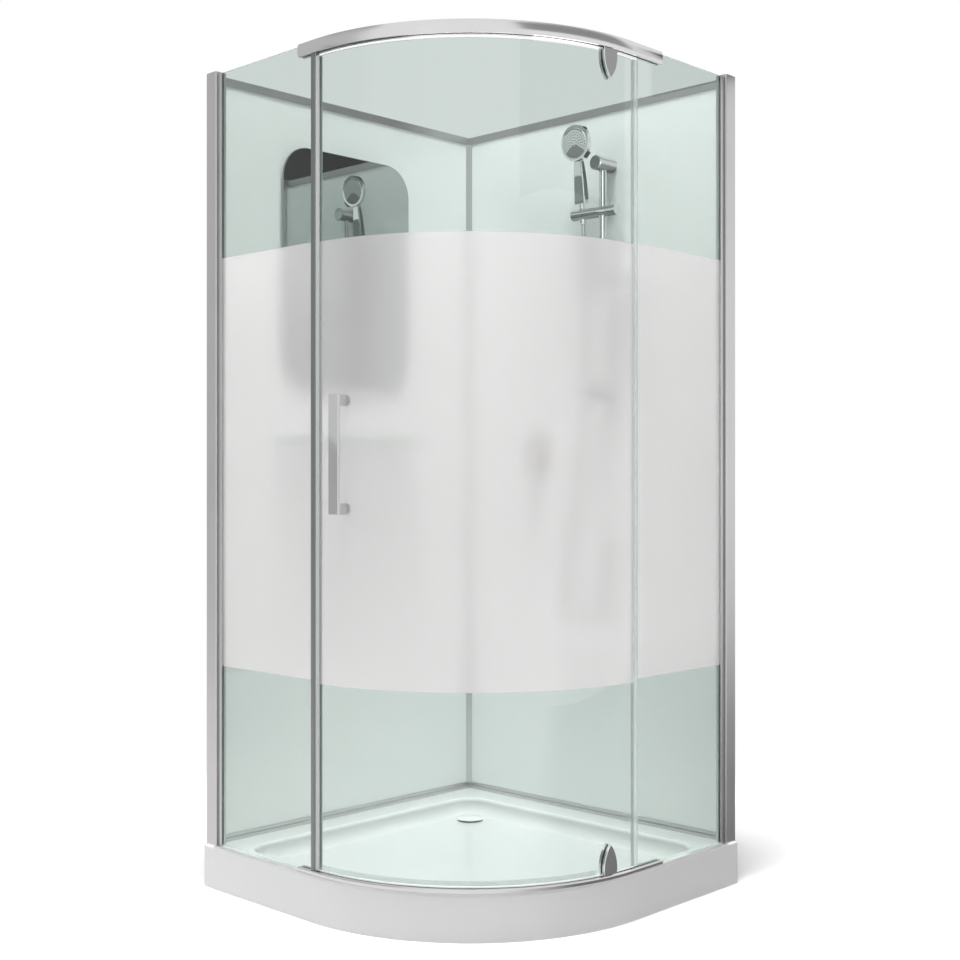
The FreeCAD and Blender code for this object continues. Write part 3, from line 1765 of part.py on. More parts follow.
def build_outlet():
    """Wall elbow that feeds the hose, and the pipe behind the wall that feeds the elbow."""
    nose_y = bar_y
    past = 6.0
    plate_thick = 5.0
    radius = cell("elbow_radius")
    drop = cell("elbow_drop")
    plate_radius = cell("outlet_plate_radius")
    plate = rod("elbow_plate", plate_radius, plate_thick, outlet_x, wall_face, outlet_z, "-y")
    start = pipe_y + past
    back = rod("elbow_back", OUTLET_STUB, start - nose_y, outlet_x, start, outlet_z, "-y")
    arm = rod("elbow_arm", radius, wall_face - nose_y, outlet_x, wall_face, outlet_z, "-y")
    knuckle = document.addObject("Part::Sphere", "elbow_knuckle")
    bind(knuckle, "Radius", radius)
    place(knuckle, outlet_x, nose_y, outlet_z)
    down = rod("elbow_down", radius - 2, drop, outlet_x, nose_y, outlet_z - drop)
    pipe = cell("supply_radius")
    socket = rod("elbow_socket", pipe + 2, SOCKET_RISE, outlet_x, pipe_y, outlet_z)
    keep(fuse("outlet_elbow", plate, back, arm, knuckle, down, socket), "outlet_elbow")

    bend = cell("supply_bend")
    turn_x = outlet_x - bend
    turn_z = mixer_z - bend
    body = new_body("supply_pipe")
    start_x = mixer_x + 45
    path = draw(
        sketch_on(body, "XZ", -pipe_y),
        [
            (start_x, mixer_z),
            (turn_x, mixer_z, turn_x, turn_z, bend, -1),
            (outlet_x, turn_z),
            (outlet_x, outlet_z + SOCKET_RISE),
        ],
        closed=False,
    )
    circle = draw_circle(sketch_on(body, "YZ", start_x), pipe_y, mixer_z, pipe)
    feature = body.newObject("PartDesign::AdditivePipe", "supply_pipe_sweep")
    feature.Profile = circle
    feature.Spine = (path, ["Edge1", "Edge2", "Edge3"])
    keep(body, "supply_pipe")
    length = cell("hose_nut_length")
    nut_low = outlet_z - drop - length
    nut = rod("hose_nut_outer", cell("hose_nut_radius"), length, outlet_x, nose_y, nut_low)
    keep(nut, "hose_nut")


def build_dish():
    """Round soap dish whose ring slides on the bar."""
    radius = cell("dish_radius")
    ring = cell("bar_radius") + 4
    deep = cell("dish_depth")
    wall = cell("dish_wall")
    low = cell("dish_height") - deep / 2
    overlap = 6.0
    centre_x = bar_x + ring + radius - overlap
    centre_y = bar_y - 14
    cup = rod("dish_cup", radius, deep, centre_x, centre_y, low)
    hollow = rod("dish_hollow", radius - wall, deep, centre_x, centre_y, low + wall)
    collar = rod("dish_collar", ring, deep, bar_x, bar_y, low)
    solid = fuse("soap_dish_ring", cut("soap_dish_cup", cup, hollow), collar)
    bore_run = deep + 2 * OVERRUN
    bore = rod("dish_bore", cell("bar_radius") + play, bore_run, bar_x, bar_y, low - OVERRUN)
    keep(cut("soap_dish", solid, bore), "soap_dish")


# ---------------------------------------------------------------- hose

# Points of the hose's middle line, chosen by hand: out of the elbow's nut, down round a loop,
# then up to the cone under the hand shower.
HOSE_POINTS = (
    (85.0, 392.0, 778.0),
    (85.0, 392.0, 714.0),
    (84.0, 392.0, 649.0),
    (67.1, 392.3, 617.9),
    (36.0, 392.6, 600.0),
    (0.0, 393.0, 600.0),
    (-31.1, 393.3, 617.9),
    (-49.0, 393.6, 649.0),
    (-47.0, 394.5, 714.0),
    (-36.0, 396.0, 802.0),
    (-20.0, 397.5, 902.0),
    (-4.0, 399.0, 1008.0),
    (6.0, 400.5, 1118.0),
    (11.0, 402.0, 1236.0),
    (13.5, 403.5, 1352.0),
    (15.0, 404.0, 1462.0),
    (16.0, 401.86, 1552.2),
    (16.0, 394.51, 1622.13),
)
RUN_SHARE = 0.45
SPLITS = (9, 15)


def hose_edges(points):
    """Straight runs joined by tangent arcs, each as large as its two runs allow."""
    edges = []
    radii = []
    here = points[0]
    for index in range(1, len(points) - 1):
        corner = points[index]
        before = points[index - 1] - corner
        after = points[index + 1] - corner
        shorter = min(before.Length, after.Length)
        half_turn = (math.pi - before.getAngle(after)) / 2
        reach = RUN_SHARE * shorter
        radius = reach / math.tan(half_turn)
        radii.append(radius)
        start = corner + before.normalize() * reach
        stop = corner + after.normalize() * reach
        bisector = ((start + stop) * 0.5 - corner).normalize()
        middle = corner + bisector * (radius / math.cos(half_turn) - radius)
        edges.append(Part.LineSegment(here, start).toShape())
        edges.append(Part.Arc(start, middle, stop).toShape())
        here = stop
    edges.append(Part.LineSegment(here, points[-1]).toShape())
    return edges, radii


def cut_run(edges, index):
    """Splits the straight run that leads to a point in half; the two halves go to two tubes."""
    run = edges[2 * (index - 1)]
    start = run.Vertexes[0].Point
    stop = run.Vertexes[-1].Point
    middle = (start + stop) * 0.5
    return Part.LineSegment(start, middle).toShape(), Part.LineSegment(middle, stop).toShape()


def build_hose():
    """Three lengths of one hose: the loop, the riser that gives with the slider, and the top."""
    shift = FreeCAD.Vector(
        number(outlet_x) - HOSE_POINTS[0][0],
        number(bar_y) - HOSE_POINTS[0][1],
        0,
    )
    points = [FreeCAD.Vector(*point) + shift for point in HOSE_POINTS]
    edges, radii = hose_edges(points)
    radius = number(cell("hose_diameter")) / 2
    print("hose: least bend radius", round(min(radii), 1), "mm =",
          round(min(radii) / (2 * radius), 2), "diameters")
    lengths = []
    start = 0
    first_half = None
    for index in SPLITS:
        before, after = cut_run(edges, index)
        stop = 2 * (index - 1)
        lengths.append(([first_half] if first_half else []) + edges[start:stop] + [before])
        first_half = after
        start = stop + 1
    lengths.append([first_half] + edges[start:])
    total = 0
    for name, run in zip(("hose_loop", "hose_riser", "hose_top"), lengths):
        wire = Part.Wire(run)
        total += wire.Length
        begin = run[0].Vertexes[0].Point
        ahead = run[0].tangentAt(run[0].FirstParameter)
        ring = Part.Wire(Part.Circle(begin, ahead, radius).toShape())
        solid = wire.makePipeShell([ring], True, False)
        expected = math.pi * radius * radius * wire.Length
        print(name, "length", round(wire.Length, 1), "volume / section x length",
              round(solid.Volume / expected, 4))
        piece = document.addObject("Part::Feature", name)
        piece.Shape = solid
        piece.Placement = FreeCAD.Placement()
        keep(piece, name)
    print("hose length", round(total, 1))


# ---------------------------------------------------------------- build, check and write


def check_all():
    """Stops the build if any object failed, or any kept piece is empty or not valid."""
    document.recompute()
    for item in document.Objects:
        if "Invalid" in item.State or "Error" in item.State:
            raise RuntimeError(f"{item.Label} failed: {item.State}")
    for piece in nodes:
        if piece.Shape.isNull() or not piece.Shape.isValid() or not piece.Shape.Solids:
            raise RuntimeError(f"{piece.Label} has no sound shape")


def write_all():
    os.makedirs("parts", exist_ok=True)
    for piece in nodes:
        piece.Shape.exportStep(f"parts/{piece.Label}.step")
        box = piece.Shape.BoundBox
        print(f"{piece.Label:22s} solids {len(piece.Shape.Solids)}  x {box.XMin:.1f} {box.XMax:.1f}"
              f"  y {box.YMin:.1f} {box.YMax:.1f}  z {box.ZMin:.1f} {box.ZMax:.1f}")
    print(len(nodes), "nodes")


build_tray()
build_frame()
build_feet()
build_waste()
build_walls()
build_posts()
build_rails()
build_closing_side()
build_door_glass()
build_door_seals()
build_clamps()
build_handle()
build_mirror()
build_shelf()
build_slide_bar()
build_slider()
build_handset()
build_mixer()
build_outlet()
build_dish()
build_hose()
check_all()
write_all()
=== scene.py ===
"""A quadrant shower enclosure: stage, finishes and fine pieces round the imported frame."""
import math

import bpy
import numpy as np
from bpy.props import FloatProperty, FloatVectorProperty
from bpy.types import Operator, Panel, PropertyGroup
from mathutils import Matrix, Vector


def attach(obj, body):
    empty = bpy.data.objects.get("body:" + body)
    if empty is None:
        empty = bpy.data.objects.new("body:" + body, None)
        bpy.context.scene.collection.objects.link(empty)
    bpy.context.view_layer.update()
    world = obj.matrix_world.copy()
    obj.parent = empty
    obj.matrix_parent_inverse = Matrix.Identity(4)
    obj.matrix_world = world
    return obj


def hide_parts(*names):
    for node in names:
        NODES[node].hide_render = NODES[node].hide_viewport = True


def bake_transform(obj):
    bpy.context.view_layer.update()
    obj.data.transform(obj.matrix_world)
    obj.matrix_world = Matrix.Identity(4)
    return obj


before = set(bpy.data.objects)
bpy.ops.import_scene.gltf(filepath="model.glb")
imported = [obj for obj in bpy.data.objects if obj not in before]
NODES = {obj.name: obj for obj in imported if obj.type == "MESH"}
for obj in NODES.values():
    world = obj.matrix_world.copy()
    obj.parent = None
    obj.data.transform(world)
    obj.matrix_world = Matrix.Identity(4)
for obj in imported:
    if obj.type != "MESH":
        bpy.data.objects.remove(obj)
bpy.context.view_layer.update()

bl_info = {
    "name": "Quadrant Shower Enclosure",
    "version": (1, 0, 0),
    "blender": (4, 5, 0),
    "location": "3D View > Sidebar > Shower",
    "description": "Finishes and fine pieces of a quarter-round shower enclosure",
    "category": "Object",
}

FINISHES = {}  # each finish that has been made, by its name

# The camera, worked out from the photograph's upright and level edges
PHOTO_SIDE = 960  # pixels
FOCAL_LENGTH = 1406.02  # pixels
SENSOR_WIDTH = 36  # millimetres
CAMERA_PLACE = (2.33761, -2.39965, 0.96301)
CAMERA_TURN = math.radians(43.92)  # from a view along Y

# The hose's route in metres, from the outlet's nut up to the hand shower's cone
HOSE_ROUTE = (
    (0.085, 0.392, 0.778),
    (0.085, 0.392, 0.714),
    (0.084, 0.392, 0.649),
    (0.0671, 0.3923, 0.6179),
    (0.036, 0.3926, 0.600),
    (0.0, 0.393, 0.600),
    (-0.0311, 0.3933, 0.6179),
    (-0.049, 0.3936, 0.649),
    (-0.047, 0.3945, 0.714),
    (-0.036, 0.396, 0.802),
    (-0.020, 0.3975, 0.902),
    (-0.004, 0.399, 1.008),
    (0.006, 0.4005, 1.118),
    (0.011, 0.402, 1.236),
    (0.0135, 0.4035, 1.352),
    (0.015, 0.404, 1.462),
    (0.016, 0.40186, 1.5522),
    (0.016, 0.39451, 1.62213),
)
RISER_TOP = 1.411  # height above which it goes with the slider

# The hand shower leans about its holder, its top towards the front
HANDSET_FOOT = (0.016, 0.392, 1.646)
HANDSET_LEAN = math.radians(6)
HEAD_RISE = 0.182  # from the holder up to the head's centre, along the handle
GRIP_MARGIN = 0.0028  # between the edge of a grip and the edge of the handle
RING_RADIUS = 0.0457  # just outside the selector's ring, inside its tabs

FULL_TURN = 2 * math.pi
ALONG_Z = (1, 1, 0.02)  # stretches a grain into lines that run upright
BRUSHED = {"fine": 900.0, "wear": 0.2, "scratch": 0.00004}  # aluminium with a satin brush

# A Mix node has a set of sockets for each kind of data: these are the places of its colours
MIX_FACTOR, MIX_FIRST, MIX_SECOND, MIX_RESULT = 0, 6, 7, 2


# ---------------------------------------------------------------- sizes and colours


def colour(name, description, default):
    """A colour that a user may change."""
    return FloatVectorProperty(
        name=name, description=description, default=default, size=3, subtype="COLOR", min=0, max=1
    )


def length(name, description, default):
    """A length in metres that a user may change."""
    return FloatProperty(name=name, description=description, default=default, unit="LENGTH")


def share(name, description, default):
    """A share from 0 to 1 that a user may change."""
    return FloatProperty(
        name=name, description=description, default=default, min=0, max=1, subtype="FACTOR"
    )


class ShowerGlass(PropertyGroup):
    tint: colour("Glass", "Light that one face of clear glass lets through", (0.78, 0.822, 0.806))
    edge: colour("Glass edge", "Colour of a polished glass edge", (0.62, 0.72, 0.69))
    band: colour("Etched band", "Colour of the etched band", (0.83, 0.82, 0.82))
    clearness: share("Band clearness", "Share of light that goes on through the band", 0.72)
    blur: share("Band blur", "Roughness of the etched band", 0.5)
    door_band_low: length("Door band, bottom", "Height of the door band's lower edge", 0.518)
    door_band_high: length("Door band, top", "Height of the door band's upper edge", 1.483)
    side_band_low: length("Side band, bottom", "Height of the side bands' lower edge", 0.525)
    side_band_high: length("Side band, top", "Height of the side bands' upper edge", 1.485)
    panel: colour("Wall glass", "White paint behind the wall glass", (0.92, 0.935, 0.928))
    shelf: colour("Shelf glass", "Light that one face of the shelf lets through", (0.74, 0.88, 0.82))
    silver: colour("Mirror", "Colour of the mirror's silver", (0.40, 0.43, 0.42))


class ShowerMetal(PropertyGroup):
    chrome: colour("Chrome", "Polished chrome", (0.80, 0.80, 0.80))
    satin: colour("Satin aluminium", "Columns and profiles", (0.62, 0.615, 0.615))
    bright: colour("Bright aluminium", "Rails", (0.70, 0.695, 0.695))
    steel: colour("Steel", "Screws", (0.48, 0.48, 0.49))
    brass: colour("Brass", "Valve behind the wall", (0.58, 0.44, 0.20))
    frame_paint: colour("Frame paint", "Painted tubes under the tray", (0.30, 0.31, 0.33))


class ShowerPlastic(PropertyGroup):
    acrylic: colour("Acrylic", "Tray", (0.79, 0.79, 0.79))
    white: colour("White plastic", "Trap", (0.74, 0.74, 0.73))
    black: colour("Black plastic", "Feet", (0.03, 0.03, 0.033))
    seal: colour("Seal", "Clear seals", (0.78, 0.82, 0.80))
    magnet: colour("Magnet strip", "White magnet strip on the door", (0.52, 0.56, 0.545))
    spray: colour("Spray face", "Plate of the hand shower", (0.93, 0.95, 0.945))
    nozzle: colour("Nozzles", "Rubber nozzles", (0.03, 0.033, 0.032))
    inset: colour("Handle inset", "Dark grip on the hand shower", (0.26, 0.28, 0.275))
    cover: colour("Drain cover", "Satin cover over the drain", (0.84, 0.84, 0.84))
    dish: colour("Soap dish", "Frosted plastic of the dish", (0.66, 0.68, 0.68))
    cap: colour("Bracket caps", "Dark ends of the bar's brackets", (0.34, 0.36, 0.355))


class ShowerHose(PropertyGroup):
    diameter: length("Diameter", "Outside diameter of the hose", 0.012)
    pitch: length("Rib pitch", "Distance from one rib of the metal cover to the next", 0.0036)
    depth: length("Rib depth", "Depth of the groove between two ribs", 0.0005)


class ShowerStage(PropertyGroup):
    horizon: FloatProperty(name="Horizon", description="Light from the sides", default=0.62)
    zenith: FloatProperty(name="Zenith", description="Light from straight above", default=0.52)
    bounce: share("Floor bounce", "Share of its light that the floor gives back", 0.5)
    key: FloatProperty(name="Key lamp", description="Power of the large lamp", default=80, unit="POWER")
    top: FloatProperty(name="Top lamp", description="Power of the lamp overhead", default=385, unit="POWER")
    floor: colour("Floor", "Colour of the floor", (0.90, 0.90, 0.90))


# ---------------------------------------------------------------- finishes


class Value:
    """One output of a node. Python's operators work on it, and each adds its Math node."""

    def __init__(self, finish, socket):
        self.finish = finish
        self.socket = socket

    def maths(self, operation, *terms):
        return self.finish.node("ShaderNodeMath", {"operation": operation}, *terms)

    def __add__(self, other):
        return self.maths("ADD", self, other)

    def __sub__(self, other):
        return self.maths("SUBTRACT", self, other)

    def __rsub__(self, other):
        return self.maths("SUBTRACT", other, self)

    def __mul__(self, other):
        return self.maths("MULTIPLY", self, other)

    def __truediv__(self, other):
        return self.maths("DIVIDE", self, other)

    def __pow__(self, other):
        return self.maths("POWER", self, other)

    def __gt__(self, other):
        return self.maths("GREATER_THAN", self, other)

    def __lt__(self, other):
        return self.maths("LESS_THAN", self, other)

    def __abs__(self):
        return self.maths("ABSOLUTE", self)

    __radd__ = __add__
    __rmul__ = __mul__

    def sine(self):
        return self.maths("SINE", self)

    def clamped(self):
        return self.finish.node("ShaderNodeClamp", {}, self)

    def highest(self, other):
        return self.maths("MAXIMUM", self, other)


class Finish:
    """A material in the making. node() adds a node: its settings first, then its sockets."""

    def __init__(self, name, owner=None):
        self.owner = owner or bpy.data.materials.new(name)
        self.owner.use_nodes = True
        self.tree = self.owner.node_tree
        self.tree.nodes.clear()

    def node(self, kind, settings, *ordered, output=0, **named):
        made = self.tree.nodes.new(kind)
        for word, setting in settings.items():
            setattr(made, word, setting)
        pairs = list(zip(made.inputs, ordered))
        pairs += [(made.inputs[word.replace("_", " ")], value) for word, value in named.items()]
        for socket, value in pairs:
            self.feed(socket, value)
        return Value(self, made.outputs[output]) if made.outputs else None

    def feed(self, socket, value):
        if isinstance(value, Value):
            self.tree.links.new(value.socket, socket)
        elif value is not None:
            socket.default_value = value

    def place(self, scale=(1, 1, 1)):
        """The piece's own coordinates in metres, each times its scale."""
        here = self.node("ShaderNodeTexCoord", {}, output="Object")
        return self.node("ShaderNodeMapping", {}, here, Scale=scale)

    def axis(self, letter):
        """One of the piece's own coordinates."""
        here = self.node("ShaderNodeTexCoord", {}, output="Object")
        return self.node("ShaderNodeSeparateXYZ", {}, here, output=letter)

    def noise(self, scale, detail=2.0, stretch=(1, 1, 1)):
        """A cloudy pattern from 0 to 1, with about that many clouds to the metre."""
        return self.node(
            "ShaderNodeTexNoise", {}, Vector=self.place(stretch), Scale=scale, Detail=detail
        )

    def blended(self, factor, first, second):
        """first where factor is 0 and second where it is 1, both colours."""
        made = self.tree.nodes.new("ShaderNodeMix")
        made.data_type = "RGBA"
        for index, value in ((MIX_FACTOR, factor), (MIX_FIRST, first), (MIX_SECOND, second)):
            self.feed(made.inputs[index], opaque(value))
        return Value(self, made.outputs[MIX_RESULT])

    def mottled(self, mask, tone, low, high):
        """The tone times low where the mask is 0 and times high where it is 1."""
        return self.blended(mask, toned(tone, low), toned(tone, high))

    def bump(self, height, distance, strength):
        return self.node(
            "ShaderNodeBump", {}, Height=height, Distance=distance, Strength=strength
        )

    def principled(self, **sockets):
        return self.node("ShaderNodeBsdfPrincipled", {}, **sockets)

    def mixed(self, factor, first, second):
        """The first shader where factor is 0 and the second where it is 1."""
        return self.node("ShaderNodeMixShader", {}, factor, first, second)

    def transparent(self, tint):
        return self.node("ShaderNodeBsdfTransparent", {}, Color=opaque(tint))

    def ray(self, *kinds):
        """1 for the rays of these kinds, such as Camera, and 0 for all others."""
        found = [self.node("ShaderNodeLightPath", {}, output=f"Is {kind} Ray") for kind in kinds]
        any_of = found[0]
        for other in found[1:]:
            any_of = any_of.highest(other)
        return any_of

    def done(self, shader, end="ShaderNodeOutputMaterial"):
        """Ends the material with that shader."""
        self.node(end, {}, Surface=shader)
        return self.owner


def opaque(value):
    """A colour of three numbers as four, and anything else as it is."""
    if isinstance(value, Value) or not hasattr(value, "__len__"):
        return value
    return (*value[:3], 1.0)


def toned(tone, factor):
    """A colour made darker or lighter."""
    return tuple(min(1.0, part * factor) for part in tone[:3])


def metal(name, tone, roughness, grain=(1, 1, 1), fine=600.0, wear=0.06, scratch=0.00002):
    """Metal: its skin and roughness follow a fine grain, stretched along the way it was drawn or
    polished, and its tone and roughness follow slow clouds, as drying water leaves them."""
    made = Finish(name)
    grains = made.noise(fine, 2.0, grain)
    clouds = made.noise(9.0, 3.0)
    worn = roughness * wear
    rough = roughness - worn + grains * (worn * 2) + clouds * worn
    return made.done(
        made.principled(
            Base_Color=made.mottled(clouds, tone, 0.94, 1.05),
            Metallic=1.0,
            Roughness=rough.clamped(),
            Normal=made.bump(grains, scratch, 0.6),
        )
    )


def chrome_painted_reflection(name, tone):
    """Polished chrome on level round parts, with painted reflections in its colour: what faces
    down is painted darker, as a reflection of the wall below it in shade, and a painted dark
    line runs along the shoulder."""
    made = Finish(name)
    clouds = made.noise(9.0, 3.0)
    up = made.node("ShaderNodeNewGeometry", {}, output="Normal")
    rise = made.node("ShaderNodeSeparateXYZ", {}, up, output="Z")
    under_from, under_growth = -0.15, 4.0
    line_at, line_half, line_growth = 0.34, 0.14, 14.0
    under = ((under_from - rise) * under_growth).clamped()
    shoulder = ((line_half - abs(rise - line_at)) * line_growth).clamped()
    # Painted reflection: the colour darkens where the surface faces down and along the shoulder
    dark = (under * 0.9 + shoulder * 0.6).clamped()
    return made.done(
        made.principled(
            Base_Color=made.mottled(dark, tone, 1.0, 0.3),
            Metallic=1.0,
            Roughness=0.04 + clouds * 0.02,
        )
    )


def ringed(name, tone):
    """The hand shower's selector: chrome round the head, its two tabs dark. A point belongs to a
    tab if it lies further from the head's axis than the ring does."""
    made = Finish(name)
    clouds = made.noise(9.0, 3.0)
    x, y, z = (made.axis(letter) for letter in "XYZ")
    foot_x, foot_y, foot_z = HANDSET_FOOT
    up = (z - foot_z) * math.cos(HANDSET_LEAN) - (y - foot_y) * math.sin(HANDSET_LEAN) - HEAD_RISE
    side = x - foot_x
    tab = (up * up + side * side) > RING_RADIUS ** 2
    return made.done(
        made.principled(
            Base_Color=made.mottled(tab, tone, 1.0, 0.16),
            Metallic=1.0,
            Roughness=0.06 + clouds * 0.03 + tab * 0.2,
        )
    )


def plastic(name, tone, roughness, coat=0.0, fine=900.0, dent=0.00003):
    """Plastic: a faint mottle in its tone and roughness over a fine moulded skin."""
    made = Finish(name)
    skin = made.noise(fine, 2.0)
    clouds = made.noise(7.0, 3.0)
    return made.done(
        made.principled(
            Base_Color=made.mottled(clouds, tone, 0.97, 1.02),
            Roughness=(roughness * 0.85 + clouds * roughness * 0.3).clamped(),
            Normal=made.bump(skin, dent, 0.5),
            Coat_Weight=coat,
            Coat_Roughness=0.04,
        )
    )


def seal_finish(name, tone, see, milk=0.36):
    """Clear soft plastic: part of the light goes straight through, the rest is milky."""
    made = Finish(name)
    clouds = made.noise(12.0, 2.0)
    milky = made.principled(
        Base_Color=made.mottled(clouds, tone, 0.95, 1.05),
        Roughness=0.3 + clouds * 0.1,
    )
    return made.done(made.mixed(milk + clouds * 0.05, made.transparent(see), milky))


def pane(name, tint, edge, band=None):
    """Glass that lets light straight through each face, tinted, and mirrors the rest by its
    angle. Faces that look up or down are polished edges. Between the band's two heights the
    glass is etched: light is scattered a little and part of it stays on the surface."""
    glass = bpy.context.scene.shower_glass
    made = Finish(name)
    flow = made.noise(3.0, 2.0)
    tilt = made.node("ShaderNodeLayerWeight", {}, output="Facing", Blend=0.5)
    head_on = 0.04  # share mirrored by glass that is looked at head on
    gloss = head_on + tilt ** 5 * (1 - head_on)
    shine = made.node(
        "ShaderNodeBsdfGlossy", {}, Color=(1, 1, 1, 1), Roughness=0.02,
        Normal=made.bump(flow, 0.0004, 0.3),
    )
    clear = made.mixed(gloss, made.transparent(tint), shine)
    lighting = made.ray("Shadow", "Diffuse")
    clear = made.mixed(lighting, clear, made.transparent((0.985, 0.99, 0.988)))
    up = made.node("ShaderNodeNewGeometry", {}, output="Normal")
    facing = abs(made.node("ShaderNodeSeparateXYZ", {}, up, output="Z")) > 0.5
    rim = made.principled(Base_Color=made.mottled(flow, edge, 0.9, 1.1), Roughness=0.12)
    surface = made.mixed(facing * 0.3, clear, rim)
    if band:
        low, high = band
        height = made.axis("Z")
        grain = made.noise(1400.0, 2.0)
        etched = made.principled(
            Base_Color=made.mottled(grain, glass.band, 0.98, 1.02),
            Roughness=glass.blur,
            IOR=1.05,
            Transmission_Weight=glass.clearness,
            Coat_Weight=0.5,
            Coat_Roughness=0.1,
            Normal=made.bump(grain, 0.00002, 0.3),
        )
        veiled = made.mixed(lighting, etched, made.transparent((0.93, 0.93, 0.93)))
        surface = made.mixed((height > low) * (height < high), surface, veiled)
    return made.done(surface)


def painted_glass(name, tone):
    """Wall glass painted white behind: a glossy face with a slow waviness."""
    made = Finish(name)
    flow = made.noise(2.2, 2.0)
    speck = made.noise(260.0, 2.0)
    return made.done(
        made.principled(
            Base_Color=made.mottled(flow, tone, 0.985, 1.01),
            Roughness=0.10 + speck * 0.05,
            Normal=made.bump(flow, 0.0006, 0.4),
            Coat_Weight=0.4,
            Coat_Roughness=0.02,
        )
    )


def silvered(name, tone):
    """A mirror: smooth, with the faintest unevenness."""
    made = Finish(name)
    flow = made.noise(5.0, 1.0)
    return made.done(
        made.principled(
            Base_Color=made.mottled(flow, tone, 0.985, 1.015),
            Metallic=1.0,
            Roughness=0.004 + flow * 0.006,
        )
    )


def acrylic_finish(name, tone):
    """Sanitary acrylic: deep gloss over a skin with a slight orange peel."""
    made = Finish(name)
    peel = made.noise(55.0, 2.0)
    clouds = made.noise(4.0, 3.0)
    return made.done(
        made.principled(
            Base_Color=made.mottled(clouds, tone, 0.985, 1.01),
            Roughness=0.20 + clouds * 0.06,
            Normal=made.bump(peel, 0.0002, 0.25),
            Coat_Weight=0.5,
            Coat_Roughness=0.06,
        )
    )


def spray_finish(name):
    """The spray plate, by its own map: u is the way round and v the way out. The lower third
    is dark, and a thin arc at the top, just inside the rim, is painted shade."""
    plastics = bpy.context.scene.shower_plastic
    made = Finish(name)
    chart = made.node("ShaderNodeUVMap", {"uv_map": "Plate"})
    round_it = made.node("ShaderNodeSeparateXYZ", {}, chart, output="X")
    out = made.node("ShaderNodeSeparateXYZ", {}, chart, output="Y")
    bottom, top = 0.75, 0.25  # shares of the way round
    third = (abs(round_it - bottom) < 0.145) * (out > 0.18)
    # Painted shade: a dark arc at the top of the plate, just inside the rim
    painted_rim_shade = (abs(round_it - top) < 0.14) * (out > 0.86)
    clouds = made.noise(220.0, 2.0)
    dark = (third + painted_rim_shade).clamped()
    return made.done(
        made.principled(
            Base_Color=made.mottled(dark, plastics.spray, 1.0, 0.42),
            Roughness=0.30 + clouds * 0.1 - dark * 0.12,
            Normal=made.bump(clouds, 0.00004, 0.4),
        )
    )


def hose_finish(name, tone):
    """Bright wound steel, by the hose's own map: the grooves between the ribs are rougher, and
    darker by painted shade.
    """
    hose = bpy.context.scene.shower_hose
    made = Finish(name)
    chart = made.node("ShaderNodeUVMap", {"uv_map": "Hose"})
    along = made.node("ShaderNodeSeparateXYZ", {}, chart, output="Y")
    groove = (along * (FULL_TURN / hose.pitch)).sine() * 0.5 + 0.5
    grain = made.noise(2500.0, 2.0)
    return made.done(
        made.principled(
            # Painted shade: the colour darkens in the grooves
            Base_Color=made.mottled(groove, tone, 1.0, 0.55),
            Metallic=1.0,
            Roughness=0.12 + groove * 0.16 + grain * 0.05,
        )
    )


